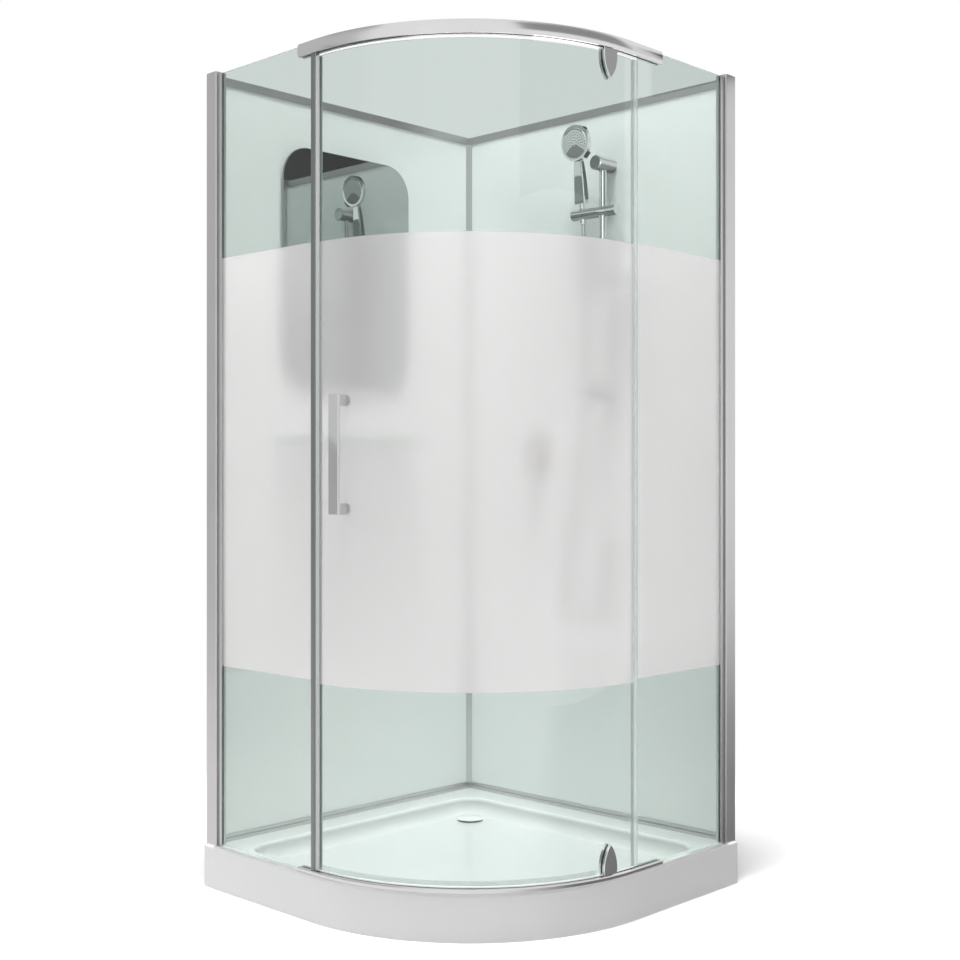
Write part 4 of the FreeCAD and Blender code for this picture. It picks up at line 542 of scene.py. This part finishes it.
def make_finish(name):
    """The finish of that name, made once."""
    if name in FINISHES:
        return FINISHES[name]
    scene = bpy.context.scene
    glass, metals, plastics = scene.shower_glass, scene.shower_metal, scene.shower_plastic
    door_band = (glass.door_band_low, glass.door_band_high)
    side_band = (glass.side_band_low, glass.side_band_high)
    through = (0.93, 0.95, 0.945)
    makers = {
        "acrylic": lambda: acrylic_finish(name, plastics.acrylic),
        "frame_paint": lambda: plastic(name, metals.frame_paint, 0.45, dent=0.0001),
        "black_plastic": lambda: plastic(name, plastics.black, 0.5),
        "white_plastic": lambda: plastic(name, plastics.white, 0.4),
        "chrome": lambda: metal(name, metals.chrome, 0.05),
        # Chrome with painted reflections: darker where it faces down and along the shoulder
        "chrome_painted_reflection": lambda: chrome_painted_reflection(name, metals.chrome),
        "ringed": lambda: ringed(name, metals.chrome),
        "mirror_chrome": lambda: metal(name, metals.chrome, 0.015),
        "dull_chrome": lambda: metal(name, toned(metals.chrome, 0.8), 0.25),
        "wall_glass": lambda: painted_glass(name, glass.panel),
        "satin_upright": lambda: metal(name, metals.satin, 0.34, ALONG_Z, **BRUSHED),
        # Satin aluminium darkened as painted shade, for the closing profile
        "satin_painted_shade": lambda: metal(name, toned(metals.satin, 0.42), 0.34, ALONG_Z, **BRUSHED),
        "satin_level": lambda: metal(name, metals.satin, 0.30, **BRUSHED),
        "bright": lambda: metal(name, metals.bright, 0.17, fine=700.0, wear=0.15),
        "door_glass": lambda: pane(name, glass.tint, glass.edge, door_band),
        "side_glass": lambda: pane(name, glass.tint, glass.edge, side_band),
        "shelf_glass": lambda: pane(name, glass.shelf, toned(glass.shelf, 0.5)),
        "seal": lambda: seal_finish(name, plastics.seal, through),
        "sweep": lambda: seal_finish(
            name, toned(plastics.seal, 1.1), (0.97, 0.98, 0.975), milk=0.14
        ),
        "magnet": lambda: plastic(name, plastics.magnet, 0.35),
        # The magnet strip's colour darkened as painted shade, for the fixed magnet
        "magnet_painted_shade": lambda: plastic(name, toned(plastics.magnet, 0.45), 0.35),
        "steel": lambda: metal(name, metals.steel, 0.28),
        "mirror": lambda: silvered(name, glass.silver),
        "foam": lambda: plastic(name, (0.08, 0.08, 0.08), 0.9, fine=1500.0, dent=0.0003),
        "cap": lambda: metal(name, plastics.cap, 0.10),
        "cover": lambda: plastic(name, plastics.cover, 0.22, coat=0.4),
        "brushed": lambda: metal(name, metals.chrome, 0.2, ALONG_Z),
        "spray": lambda: spray_finish(name),
        "nozzle": lambda: plastic(name, plastics.nozzle, 0.45),
        "inset": lambda: plastic(name, plastics.inset, 0.35),
        # The grip's colour darkened as painted shade, for the grips on the handle's sides
        "inset_painted_shade": lambda: plastic(name, toned(plastics.inset, 0.75), 0.3),
        "brass": lambda: metal(name, metals.brass, 0.3),
        "hose": lambda: hose_finish(name, metals.chrome),
        "dish": lambda: seal_finish(name, plastics.dish, through),
    }
    FINISHES[name] = makers[name]()
    return FINISHES[name]


def dress(finish, *names):
    """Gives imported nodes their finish."""
    material = make_finish(finish)
    for name in names:
        mesh = NODES[name].data
        for index in range(len(mesh.materials)):
            mesh.materials[index] = material


# ---------------------------------------------------------------- shapes


def surface(name, points, finish, chart=None, chart_name=None):
    """A closed mesh from a grid of points (rows, columns, 3): each row is a ring, each quad
    joins a ring to the next, and one face closes the first ring and one the last."""
    rows, columns = points.shape[:2]
    steps = np.arange(columns)
    right = (steps + 1) % columns
    low = np.arange(rows - 1)[:, None] * columns
    quads = np.stack([low + steps, low + columns + steps, low + columns + right, low + right], -1)
    faces = quads.reshape(-1, 4).tolist()
    faces.append(list(range(columns)))
    faces.append(list(range(rows * columns - 1, (rows - 1) * columns - 1, -1)))
    mesh = bpy.data.meshes.new(name)
    mesh.from_pydata(points.reshape(-1, 3).tolist(), [], faces)
    mesh.polygons.foreach_set("use_smooth", np.ones(len(faces), bool))
    if chart is not None:
        loops = np.zeros(len(mesh.loops), int)
        mesh.loops.foreach_get("vertex_index", loops)
        mapped = chart.reshape(-1, 2)[loops].astype(np.float32)
        mesh.uv_layers.new(name=chart_name).data.foreach_set("uv", mapped.ravel())
    return add_piece(name, mesh, finish)


def ease(width, *names):
    """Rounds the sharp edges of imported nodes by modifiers: their loose triangles are joined
    first."""
    for name in names:
        join = NODES[name].modifiers.new("join", "WELD")
        join.merge_threshold = 0.00002
        edge = NODES[name].modifiers.new("edge", "BEVEL")
        edge.width = width
        edge.segments = 2
        edge.limit_method = "ANGLE"
        edge.angle_limit = math.radians(50)
        edge.harden_normals = True


def add_piece(name, mesh, finish):
    """Puts a mesh in the scene as a piece."""
    mesh.materials.append(make_finish(finish))
    mesh.update()
    piece = bpy.data.objects.new(name, mesh)
    bpy.context.scene.collection.objects.link(piece)
    return piece


def hose_line():
    """The points of the route's smooth line, read from its NURBS spline."""
    curve = bpy.data.curves.new("hose_route", "CURVE")
    curve.dimensions = "3D"
    spline = curve.splines.new("NURBS")
    spline.points.add(len(HOSE_ROUTE) - 1)
    spline.points.foreach_set("co", np.array([(*p, 1) for p in HOSE_ROUTE], np.float32).ravel())
    spline.order_u = 3
    spline.use_endpoint_u = True
    spline.resolution_u = 24
    carrier = bpy.data.objects.new("hose_route", curve)
    mesh = bpy.data.meshes.new_from_object(carrier)
    line = np.array([v.co for v in mesh.vertices], float)
    bpy.data.meshes.remove(mesh)
    bpy.data.objects.remove(carrier)
    bpy.data.curves.remove(curve)
    return line


def length_of(line):
    """Length of a line through points."""
    return float(np.linalg.norm(np.diff(line, axis=0), axis=1).sum())


def ribbed_tube(name, line, start):
    """A wound metal hose round a line. Ring centres lie on the line at even distances; a ring
    point is centre + radius times (cos of the turn times the side way + sin of it times the
    upright way), and the radius falls in a smooth groove once in every pitch."""
    hose = bpy.context.scene.shower_hose
    sides, rings_per_rib = 14, 5
    travelled = np.concatenate([[0], np.cumsum(np.linalg.norm(np.diff(line, axis=0), axis=1))])
    count = int(travelled[-1] / hose.pitch * rings_per_rib)
    along = np.linspace(0, travelled[-1], count)
    centres = np.stack([np.interp(along, travelled, line[:, k]) for k in range(3)], axis=1)
    ahead = np.gradient(centres, axis=0)
    ahead /= np.linalg.norm(ahead, axis=1)[:, None]
    side = np.cross(ahead, (0.0, 1.0, 0.0))
    side /= np.linalg.norm(side, axis=1)[:, None]
    upright = np.cross(side, ahead)
    turn = np.linspace(0, FULL_TURN, sides, endpoint=False)
    wave = 0.5 + 0.5 * np.sin((along + start) * (FULL_TURN / hose.pitch))
    radius = hose.diameter / 2 - hose.depth * wave ** 2
    ring = np.cos(turn)[:, None] * side[:, None] + np.sin(turn)[:, None] * upright[:, None]
    points = centres[:, None] + ring * radius[:, None, None]
    chart = np.stack(np.broadcast_arrays(turn / FULL_TURN, (along + start)[:, None]), axis=-1)
    return surface(name, points, "hose", chart, "Hose"), centres


def boxy(way, power):
    """How far out the edge of a square with rounded corners lies in each direction, if its half
    side is 1: |cos| and |sin| are raised to the power and added, and that root is taken of one
    over the sum."""
    return (np.abs(np.cos(way)) ** power + np.abs(np.sin(way)) ** power) ** (-1 / power)


def handle_section(rise):
    """Half width, half depth and middle of the hand shower's handle at a height on it."""
    heights = (0.028, 0.095, 0.151)
    half = np.interp(rise, heights, (0.018, 0.016, 0.012))
    deep = np.interp(rise, heights, (0.0105, 0.0085, 0.0065))
    return half, deep, np.interp(rise, heights, (0, 0, -0.001))


def grip(low, high):
    """A grid over a rounded rectangle: its share across and its height, both arrays, and how far
    it stands out. The rim is a superellipse and falls back into the handle."""
    proud, fall, rim_width = 0.0006, 0.0022, 0.1
    out = np.linspace(0.02, 1, 24)
    turn = np.linspace(0, FULL_TURN, 96, endpoint=False)
    reach, way = np.meshgrid(out, turn, indexing="ij")
    spread = reach * boxy(way, 8)
    rise = (low + high) / 2 + spread * np.sin(way) * (high - low) / 2
    rim = np.clip((reach - 1 + rim_width) / rim_width, 0, 1)
    return spread * np.cos(way), rise, proud - fall * rim ** 2


def standing(start, end, low, high):
    """Corners of an upright rectangle over the line between two places on the floor."""
    return [(*start, low), (*end, low), (*end, high), (*start, high)]


def lying(first, last, height):
    """Corners of a level rectangle between two opposite corners."""
    (left, near), (right, far) = first, last
    return [(left, near, height), (right, near, height), (right, far, height), (left, far, height)]


def sheet(name, corners):
    """A mesh of one flat face."""
    mesh = bpy.data.meshes.new(name)
    mesh.from_pydata(corners, [], [tuple(range(len(corners)))])
    return mesh


def add_to_stage(mesh, material, hidden_from=()):
    """Puts a mesh in the scene as part of the stage, unseen by those kinds of rays."""
    mesh.materials.append(material)
    part = bpy.data.objects.new(mesh.name, mesh)
    bpy.context.scene.collection.objects.link(part)
    for kind in hidden_from:
        setattr(part, "visible_" + kind, False)


def from_handset(points):
    """Points of the hand shower's own frame, upright at its foot, as they lie in the room."""
    lean = Matrix.Rotation(HANDSET_LEAN, 4, "X")
    place = np.array(Matrix.Translation(HANDSET_FOOT) @ lean)
    return points @ place[:3, :3].T + place[:3, 3]


# ---------------------------------------------------------------- pieces


class SHOWER_OT_camera(Operator):
    """Put the camera where the photograph was taken from"""

    bl_idname = "shower.camera"
    bl_label = "Camera"

    def execute(self, context):
        lens = bpy.data.cameras.new("camera")
        lens.lens = FOCAL_LENGTH / PHOTO_SIDE * SENSOR_WIDTH
        lens.sensor_width = SENSOR_WIDTH
        lens.clip_start = 0.05
        lens.clip_end = 60
        camera = bpy.data.objects.new("camera", lens)
        context.scene.collection.objects.link(camera)
        camera.location = CAMERA_PLACE
        camera.rotation_euler = (math.radians(90), 0, CAMERA_TURN)
        context.scene.camera = camera
        context.scene.view_settings.view_transform = "Standard"
        return {"FINISHED"}


class SHOWER_OT_stage(Operator):
    """Make the floor, the lamps and the light all round"""

    bl_idname = "shower.stage"
    bl_label = "Stage"

    def execute(self, context):
        stage = context.scene.shower_stage
        self.make_world(stage)
        self.make_floor(stage)
        self.lamp("key", stage.key, size=2.6, place=(-3.2, -1.8, 3.0), aim=(0, 0, 0.9))
        self.lamp("top", stage.top, size=1.3, place=(0.5, -0.5, 5.6), aim=(-0.1, 0.1, 0.5))
        self.make_flag()
        self.make_cards()
        return {"FINISHED"}

    def make_world(self, stage):
        """Light all round, a little stronger from the sides than from overhead, and plain white
        where it is seen."""
        world = bpy.data.worlds.new("studio")
        bpy.context.scene.world = world
        made = Finish("studio", world)
        way = made.node("ShaderNodeTexCoord", {}, output="Generated")
        up = made.node("ShaderNodeSeparateXYZ", {}, way, output="Z")
        day = up.clamped() * (stage.zenith - stage.horizon) + stage.horizon
        strength = (1 - day) * made.ray("Camera", "Glossy", "Transmission") + day
        light = made.node("ShaderNodeBackground", {}, Color=(1, 1, 1, 1), Strength=strength)
        made.done(light, "ShaderNodeOutputWorld")

    def make_floor(self, stage):
        """A pale floor that keeps the object's shadow and turns plain white further out."""
        far = 14.0
        white_from, white_over = 0.75, 0.9  # metres from the middle of the floor
        made = Finish("floor")
        beyond = ((self.away(made) - white_from) / white_over).clamped()
        pale = made.mottled(made.noise(30.0, 3.0), stage.floor, 0.99, 1.0)
        bounce = made.blended(made.ray("Diffuse"), pale, toned(stage.floor, stage.bounce))
        plain = made.principled(Base_Color=bounce, Roughness=0.8)
        white = made.node("ShaderNodeEmission", {}, Color=(1, 1, 1, 1), Strength=1.0)
        seen = made.ray("Camera", "Glossy", "Transmission")
        corners = lying((-far, -far), (far, far), 0)
        add_to_stage(sheet("floor", corners), made.done(made.mixed(beyond * seen, plain, white)))

    def away(self, made):
        """Distance from the middle of the floor."""
        x, y = made.axis("X"), made.axis("Y")
        return (x * x + y * y) ** 0.5

    def lamp(self, name, power, size, place, aim):
        """A square lamp that lights the scene and isn't seen in what is polished."""
        light = bpy.data.lights.new(name, "AREA")
        light.energy = power
        light.size = size
        lamp = bpy.data.objects.new(name, light)
        bpy.context.scene.collection.objects.link(lamp)
        lamp.location = place
        way = Vector(aim) - Vector(place)
        lamp.rotation_euler = way.to_track_quat("-Z", "Y").to_euler()
        lamp.visible_glossy = False

    def make_flag(self):
        """A narrow shade just over the tray's outer rim, which is never seen: it only keeps the
        lamp overhead off the rim. It runs straight, round the arc's centre and straight again:
        a point of the arc is the centre + radius times (cos, sin)."""
        height, centre_x, centre_y = 0.12, -0.05, 0.05
        inner_straight, inner_arc, outer = 0.487, 0.4935, 0.504  # from the arc's centre
        run, steps, arc_steps = 0.36, 12, 60
        arc = np.linspace(-math.pi / 2, 0, arc_steps)
        turn = np.concatenate([np.full(steps, arc[0]), arc, np.full(steps, arc[-1])])
        before = np.concatenate([np.linspace(run, 0, steps), np.zeros(arc_steps + steps)])
        after = before[::-1]
        inner = np.where(before + after > 0, inner_straight, inner_arc)
        radius = np.stack([inner, np.full(len(turn), outer)])
        x = centre_x + radius * np.cos(turn) - before
        y = centre_y + radius * np.sin(turn) + after
        points = np.stack([x, y, np.full(radius.shape, height)], axis=-1).reshape(-1, 3)
        count = len(turn)
        quads = np.arange(count - 1)[:, None] + (0, 1, count + 1, count)
        mesh = bpy.data.meshes.new("flag")
        mesh.from_pydata(points.tolist(), [], quads.tolist())
        made = Finish("flag")
        black = made.blended(made.noise(30.0, 2.0), (0.02, 0.02, 0.02), (0.03, 0.03, 0.03))
        material = made.done(made.principled(Base_Color=black, Roughness=0.9))
        add_to_stage(mesh, material, ("camera", "diffuse", "glossy", "transmission"))

    def make_cards(self):
        """Cards that only show in what is polished, as a studio's walls do: black behind the
        right wall, grey and pale at the sides and in front, dark on the floor near by, and a
        bright one inside that gives the bar and the hand shower their light line."""
        front, side, foot, top = -4.4, 3.4, -1, 5
        self.card("card_behind", standing((-0.1, 0.55), (0.75, 0.55), 1.96, 2.15), 0.03)
        self.card(
            "card_front", standing((-6, front), (6, front), foot, top), 0.62, 0.98,
            lambda made: made.axis("X") + 1.5,
        )
        self.card("card_corner", standing((1.4, -4.2), (3.3, -1.3), foot, top), 1.02)
        self.card("card_slant", [(-5, -4.3, -0.5), (0.08, -4.3, -0.5), (-5, -4.3, 3.26)], 0.44)
        self.card("card_inside", standing((0.25, -0.06), (0.42, 0.1), 0.5, 1.86), 2.4)
        self.card("card_right_low", standing((side, -1.3), (side, 3.3), 0, 2.2), 1.05)
        self.card("card_right_high", standing((side, -1.3), (side, 3.3), 2.2, top), 0.34)
        self.card("card_left", standing((-side, front), (-side, 3), foot, top), 0.62)
        self.card("card_top_left", lying((-side, front), (-0.7, 0.5), 4.9), 0.55)
        self.card(
            "card_floor", lying((-side, front), (side, 4), 0.004), 0.2, 1.0,
            lambda made: (-0.05 - made.axis("Y")) / 0.4,
        )

    def card(self, name, corners, tone, other=None, change=None):
        """A flat card that only what is polished shows. Its tone goes over to the other one as
        the change, worked out from its coordinates, goes from 0 to 1."""
        made = Finish(name)
        shade = (tone, tone, tone)
        if change:
            shade = made.blended(change(made).clamped(), shade, (other, other, other))
        glow = made.node("ShaderNodeEmission", {}, Color=opaque(shade), Strength=1.0)
        hidden_from = ("camera", "diffuse", "transmission", "shadow")
        add_to_stage(sheet(name, corners), made.done(glow), hidden_from)


class SHOWER_OT_tray(Operator):
    """Finish the tray, what carries it and its drain"""

    bl_idname = "shower.tray"
    bl_label = "Tray"

    def execute(self, context):
        dress("acrylic", "tray")
        dress("frame_paint", "frame_tubes")
        dress("black_plastic", "levelling_feet")
        dress("white_plastic", "trap_body")
        dress("chrome", "drain_flange")
        dress("cover", "drain_cover")
        return {"FINISHED"}


class SHOWER_OT_walls(Operator):
    """Finish the wall panels, their profiles and the columns, and put a lid on each column"""

    bl_idname = "shower.walls"
    bl_label = "Walls"

    def execute(self, context):
        dress("wall_glass", "wall_panel_left", "wall_panel_right")
        dress(
            "satin_level",
            "top_profile_left", "top_profile_right", "bottom_profile_left", "bottom_profile_right",
        )
        dress("satin_upright", "corner_profile", "column_left", "column_right", "glass_channels")
        # The closing profile's dark satin is painted shade
        dress("satin_painted_shade", "closing_profile")
        ease(0.0006, "glass_channels", "closing_profile")
        for name, middle, half in (
            ("column_cap_left", (-0.4305, -0.428), (0.0195, 0.015)),
            ("column_cap_right", (0.428, 0.4305), (0.015, 0.0195)),
        ):
            cap = self.make_cap(name, np.array(middle), np.array(half))
            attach(cap, "enclosure")
        return {"FINISHED"}

    def make_cap(self, name, middle, half):
        """A thin lid on a column: middle + reach times the edge of a boxy square times half its
        sides, and its height falls with the eighth power of the reach; the last ring closes it
        below."""
        foot, top, fall = 1.9268, 1.9285, 0.0007
        reach, way = np.meshgrid(
            np.append(np.linspace(0.02, 1, 16), 1),
            np.linspace(0, FULL_TURN, 96, endpoint=False),
            indexing="ij",
        )
        spread = reach * boxy(way, 12)
        rise = top - fall * reach ** 8
        rise[-1] = foot
        x = middle[0] + spread * np.cos(way) * half[0]
        y = middle[1] + spread * np.sin(way) * half[1]
        return surface(name, np.stack([x, y, rise], axis=-1), "satin_level")


class SHOWER_OT_glazing(Operator):
    """Finish the fixed glass, the door's glass and their seals"""

    bl_idname = "shower.glazing"
    bl_label = "Glazing"

    def execute(self, context):
        dress("side_glass", "fixed_glass_left", "fixed_glass_right")
        dress("door_glass", "door_glass")
        dress("seal", "door_edge_seal")
        dress("sweep", "sill_seals", "door_sweep")
        dress("magnet", "door_magnet_strip")
        # The fixed magnet is the strip's colour darkened as painted shade
        dress("magnet_painted_shade", "fixed_magnet")
        return {"FINISHED"}


class SHOWER_OT_rails(Operator):
    """Finish the curved rails and the door's metal parts"""

    bl_idname = "shower.rails"
    bl_label = "Rails and door fittings"

    def execute(self, context):
        dress("bright", "top_rail", "bottom_rail")
        dress("black_plastic", "pivot_bushes")
        dress("steel", "pivot_pins", "clamp_screws")
        dress("brushed", "clamp_outer_plates", "clamp_inner_plates")
        dress("mirror_chrome", "handle_bar")
        dress("dull_chrome", "handle_posts", "handle_inner_plates")
        return {"FINISHED"}


class SHOWER_OT_hose(Operator):
    """Lay the metal hose along its route"""

    bl_idname = "shower.hose"
    bl_label = "Hose"

    def execute(self, context):
        line = hose_line()
        # The line is cut where its second half, which rises, comes past the riser's top
        rising = np.arange(len(line)) > len(line) // 2
        cut = int(np.argmax(rising & (line[:, 2] > RISER_TOP)))
        low, high = line[: cut + 1], line[cut:]
        low_length, high_length = length_of(low), length_of(high)
        lower, lower_path = ribbed_tube("hose_lower", low, 0.0)
        upper, upper_path = ribbed_tube("hose_upper", high, low_length)
        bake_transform(lower)
        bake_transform(upper)
        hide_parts("hose_loop", "hose_riser")
        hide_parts("hose_top")
        dress("chrome", "hose_nut")
        return {"FINISHED"}


class SHOWER_OT_handset(Operator):
    """Make the hand shower's spray plate, its nozzles and its grips, and finish its body"""

    bl_idname = "shower.handset"
    bl_label = "Hand shower"

    def execute(self, context):
        dress("chrome", "handset_body", "handset_cone")
        dress("ringed", "spray_selector")
        plate = self.make_plate()
        nozzles = self.make_nozzles()
        grips = [self.make_inset(), self.make_side("grip_left", -1), self.make_side("grip_right", 1)]
        for piece in grips:
            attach(piece, "handset")
        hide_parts("handset_face")
        for piece in (plate, nozzles):
            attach(piece, "handset")
        return {"FINISHED"}

    def make_plate(self):
        """A round plate. Its depth follows a cosine over the radius, for fine rings, and a bell
        curve over the distance from each of three seams; the rim falls away in a quarter round,
        and a last small ring closes the back."""
        radius, back, front = 0.0387, -0.0111, -0.0142
        ring_pitch, ring_depth = 0.0044, 0.00012
        seam_width, seam_depth, seam_from = 0.0006, 0.0005, 0.006
        rim_from, closing_share = 0.93, 0.01
        out = np.concatenate([np.linspace(0.0004, 0.96, 56), np.linspace(0.965, 1, 8)])
        turn = np.linspace(0, FULL_TURN, 180, endpoint=False)
        reach, way = np.meshgrid(out * radius, turn, indexing="ij")
        rings = np.cos(reach * (FULL_TURN / ring_pitch)) * ring_depth
        seams = np.radians((90, 218, 322))[:, None, None]
        apart = np.abs((way - seams + math.pi) % FULL_TURN - math.pi).min(axis=0)
        seam = np.exp(-((apart * reach / seam_width) ** 2)) * seam_depth * (reach > seam_from)
        rim = np.clip((reach / radius - rim_from) / (1 - rim_from), 0, 1)
        fall = (1 - np.sqrt(1 - rim ** 2)) * (back - front)
        depth = front + rings * (1 - rim) + seam + fall
        face = np.stack([np.cos(way) * reach, depth, HEAD_RISE + np.sin(way) * reach], axis=-1)
        middle = np.array([0, back + 0.0004, HEAD_RISE])
        closing = middle + (face[-1:] - middle) * (closing_share, 0, closing_share)
        chart = np.stack([way / FULL_TURN, reach / radius], axis=-1)
        return surface(
            "spray_plate", from_handset(np.concatenate([face, closing])), "spray",
            np.concatenate([chart, chart[-1:]]), "Plate",
        )

    def make_inset(self):
        """A dark grip let into the flat of the handle's front, tapering as the handle does."""
        across, rise, lift = grip(0.031, 0.1)
        half, deep, middle = handle_section(rise)
        grid = np.stack([across * (half - GRIP_MARGIN), middle - deep - lift, rise], axis=-1)
        return surface("handset_inset", from_handset(grid), "inset")

    def make_side(self, name, way):
        """A dark grip let into one side of the handle, painted darker than the front one as shade; it
        widens to the foot as the handle deepens."""
        across, rise, lift = grip(0.034, 0.138)
        half, deep, middle = handle_section(rise)
        side = middle + across * way * (deep - GRIP_MARGIN)
        grid = np.stack([(half + lift) * way, side, rise], axis=-1)
        return surface(name, from_handset(grid), "inset_painted_shade")

    def make_nozzles(self):
        """Rings of small round-topped nozzles, as far apart on a ring as the rings are. Each is
        a profile turned round its own axis: spot + profile radius times (cos, sin)."""
        pitch, last_ring, shift = 0.0068, 5, 0.3
        sides, foot = 6, -0.0141
        profile = np.array([(0.0017, 0.0), (0.0015, 0.0009), (0.0007, 0.00125)])
        spots = []
        for ring in range(1, last_ring + 1):
            turn = np.linspace(0, FULL_TURN, int(FULL_TURN * ring), endpoint=False)
            turn += (ring - 1) * shift
            across, up = ring * pitch * np.cos(turn), ring * pitch * np.sin(turn)
            spots.append(np.stack([across, np.full(len(turn), foot), HEAD_RISE + up], axis=1))
        spots = np.concatenate(spots)
        around = np.linspace(0, FULL_TURN, sides, endpoint=False)
        out, rise = profile[:, 0, None], profile[:, 1, None]
        nozzle = np.broadcast_arrays(out * np.cos(around), -rise, out * np.sin(around))
        nozzle = np.stack(nozzle, axis=-1).reshape(-1, 3)
        points = from_handset((spots[:, None] + nozzle).reshape(-1, 3))
        quads = [
            (low + k, low + (k + 1) % sides, low + sides + (k + 1) % sides, low + sides + k)
            for low in (0, sides)
            for k in range(sides)
        ]
        ends = [tuple(range(2 * sides, 3 * sides)), tuple(range(sides - 1, -1, -1))]
        starts = range(0, len(points), len(nozzle))
        faces = [tuple(v + start for v in face) for start in starts for face in quads + ends]
        mesh = bpy.data.meshes.new("spray_nozzles")
        mesh.from_pydata(points.tolist(), [], faces)
        mesh.polygons.foreach_set("use_smooth", np.ones(len(faces), bool))
        return add_piece("spray_nozzles", mesh, "nozzle")


class SHOWER_OT_bar(Operator):
    """Finish the slide bar, its brackets, the slider and the soap dish"""

    bl_idname = "shower.bar"
    bl_label = "Slide bar"

    def execute(self, context):
        dress("chrome", "slide_bar")
        # The brackets, slider, knob and holder get chrome with painted reflections in its colour
        dress("chrome_painted_reflection", "bar_brackets", "slider_body", "lock_knob", "handset_holder")
        dress("cap", "bracket_caps")
        dress("dish", "soap_dish")
        return {"FINISHED"}


class SHOWER_OT_mixer(Operator):
    """Finish the mixer, the hose outlet and the pipe behind the wall"""

    bl_idname = "shower.mixer"
    bl_label = "Mixer"

    def execute(self, context):
        dress("chrome", "mixer_plate", "mixer_cap", "mixer_lever", "outlet_elbow")
        dress("brass", "mixer_valve", "supply_pipe")
        return {"FINISHED"}


class SHOWER_OT_mirror(Operator):
    """Finish the mirror and the glass shelf"""

    bl_idname = "shower.mirror"
    bl_label = "Mirror and shelf"

    def execute(self, context):
        dress("mirror", "mirror")
        ease(0.003, "mirror")
        dress("foam", "mirror_pads")
        dress("shelf_glass", "shelf_glass")
        dress("chrome", "shelf_brackets")
        return {"FINISHED"}


OPERATORS = (
    SHOWER_OT_camera,
    SHOWER_OT_stage,
    SHOWER_OT_tray,
    SHOWER_OT_walls,
    SHOWER_OT_glazing,
    SHOWER_OT_rails,
    SHOWER_OT_hose,
    SHOWER_OT_handset,
    SHOWER_OT_bar,
    SHOWER_OT_mixer,
    SHOWER_OT_mirror,
)


class SHOWER_PT_sidebar(Panel):
    """The shower's steps and settings"""

    bl_label = "Quadrant Shower"
    bl_idname = "SHOWER_PT_sidebar"
    bl_space_type = "VIEW_3D"
    bl_region_type = "UI"
    bl_category = "Shower"

    def draw(self, context):
        for step in OPERATORS:
            self.layout.operator(step.bl_idname)
        for name, group in SETTINGS.items():
            box = self.layout.box()
            for field in group.__annotations__:
                box.prop(getattr(context.scene, name), field)


SETTINGS = {
    "shower_glass": ShowerGlass,
    "shower_metal": ShowerMetal,
    "shower_plastic": ShowerPlastic,
    "shower_hose": ShowerHose,
    "shower_stage": ShowerStage,
}


def register():
    """Registers the settings, the steps and the panel."""
    for group in SETTINGS.values():
        bpy.utils.register_class(group)
    for name, group in SETTINGS.items():
        setattr(bpy.types.Scene, name, bpy.props.PointerProperty(type=group))
    for step in (*OPERATORS, SHOWER_PT_sidebar):
        bpy.utils.register_class(step)


def unregister():
    for step in reversed((*OPERATORS, SHOWER_PT_sidebar)):
        bpy.utils.unregister_class(step)
    for name in SETTINGS:
        delattr(bpy.types.Scene, name)
    for group in SETTINGS.values():
        bpy.utils.unregister_class(group)


def main():
    """Runs every step in order."""
    register()
    for step in OPERATORS:
        area, word = step.bl_idname.split(".")
        getattr(getattr(bpy.ops, area), word)()


if __name__ == "__main__":
    main()
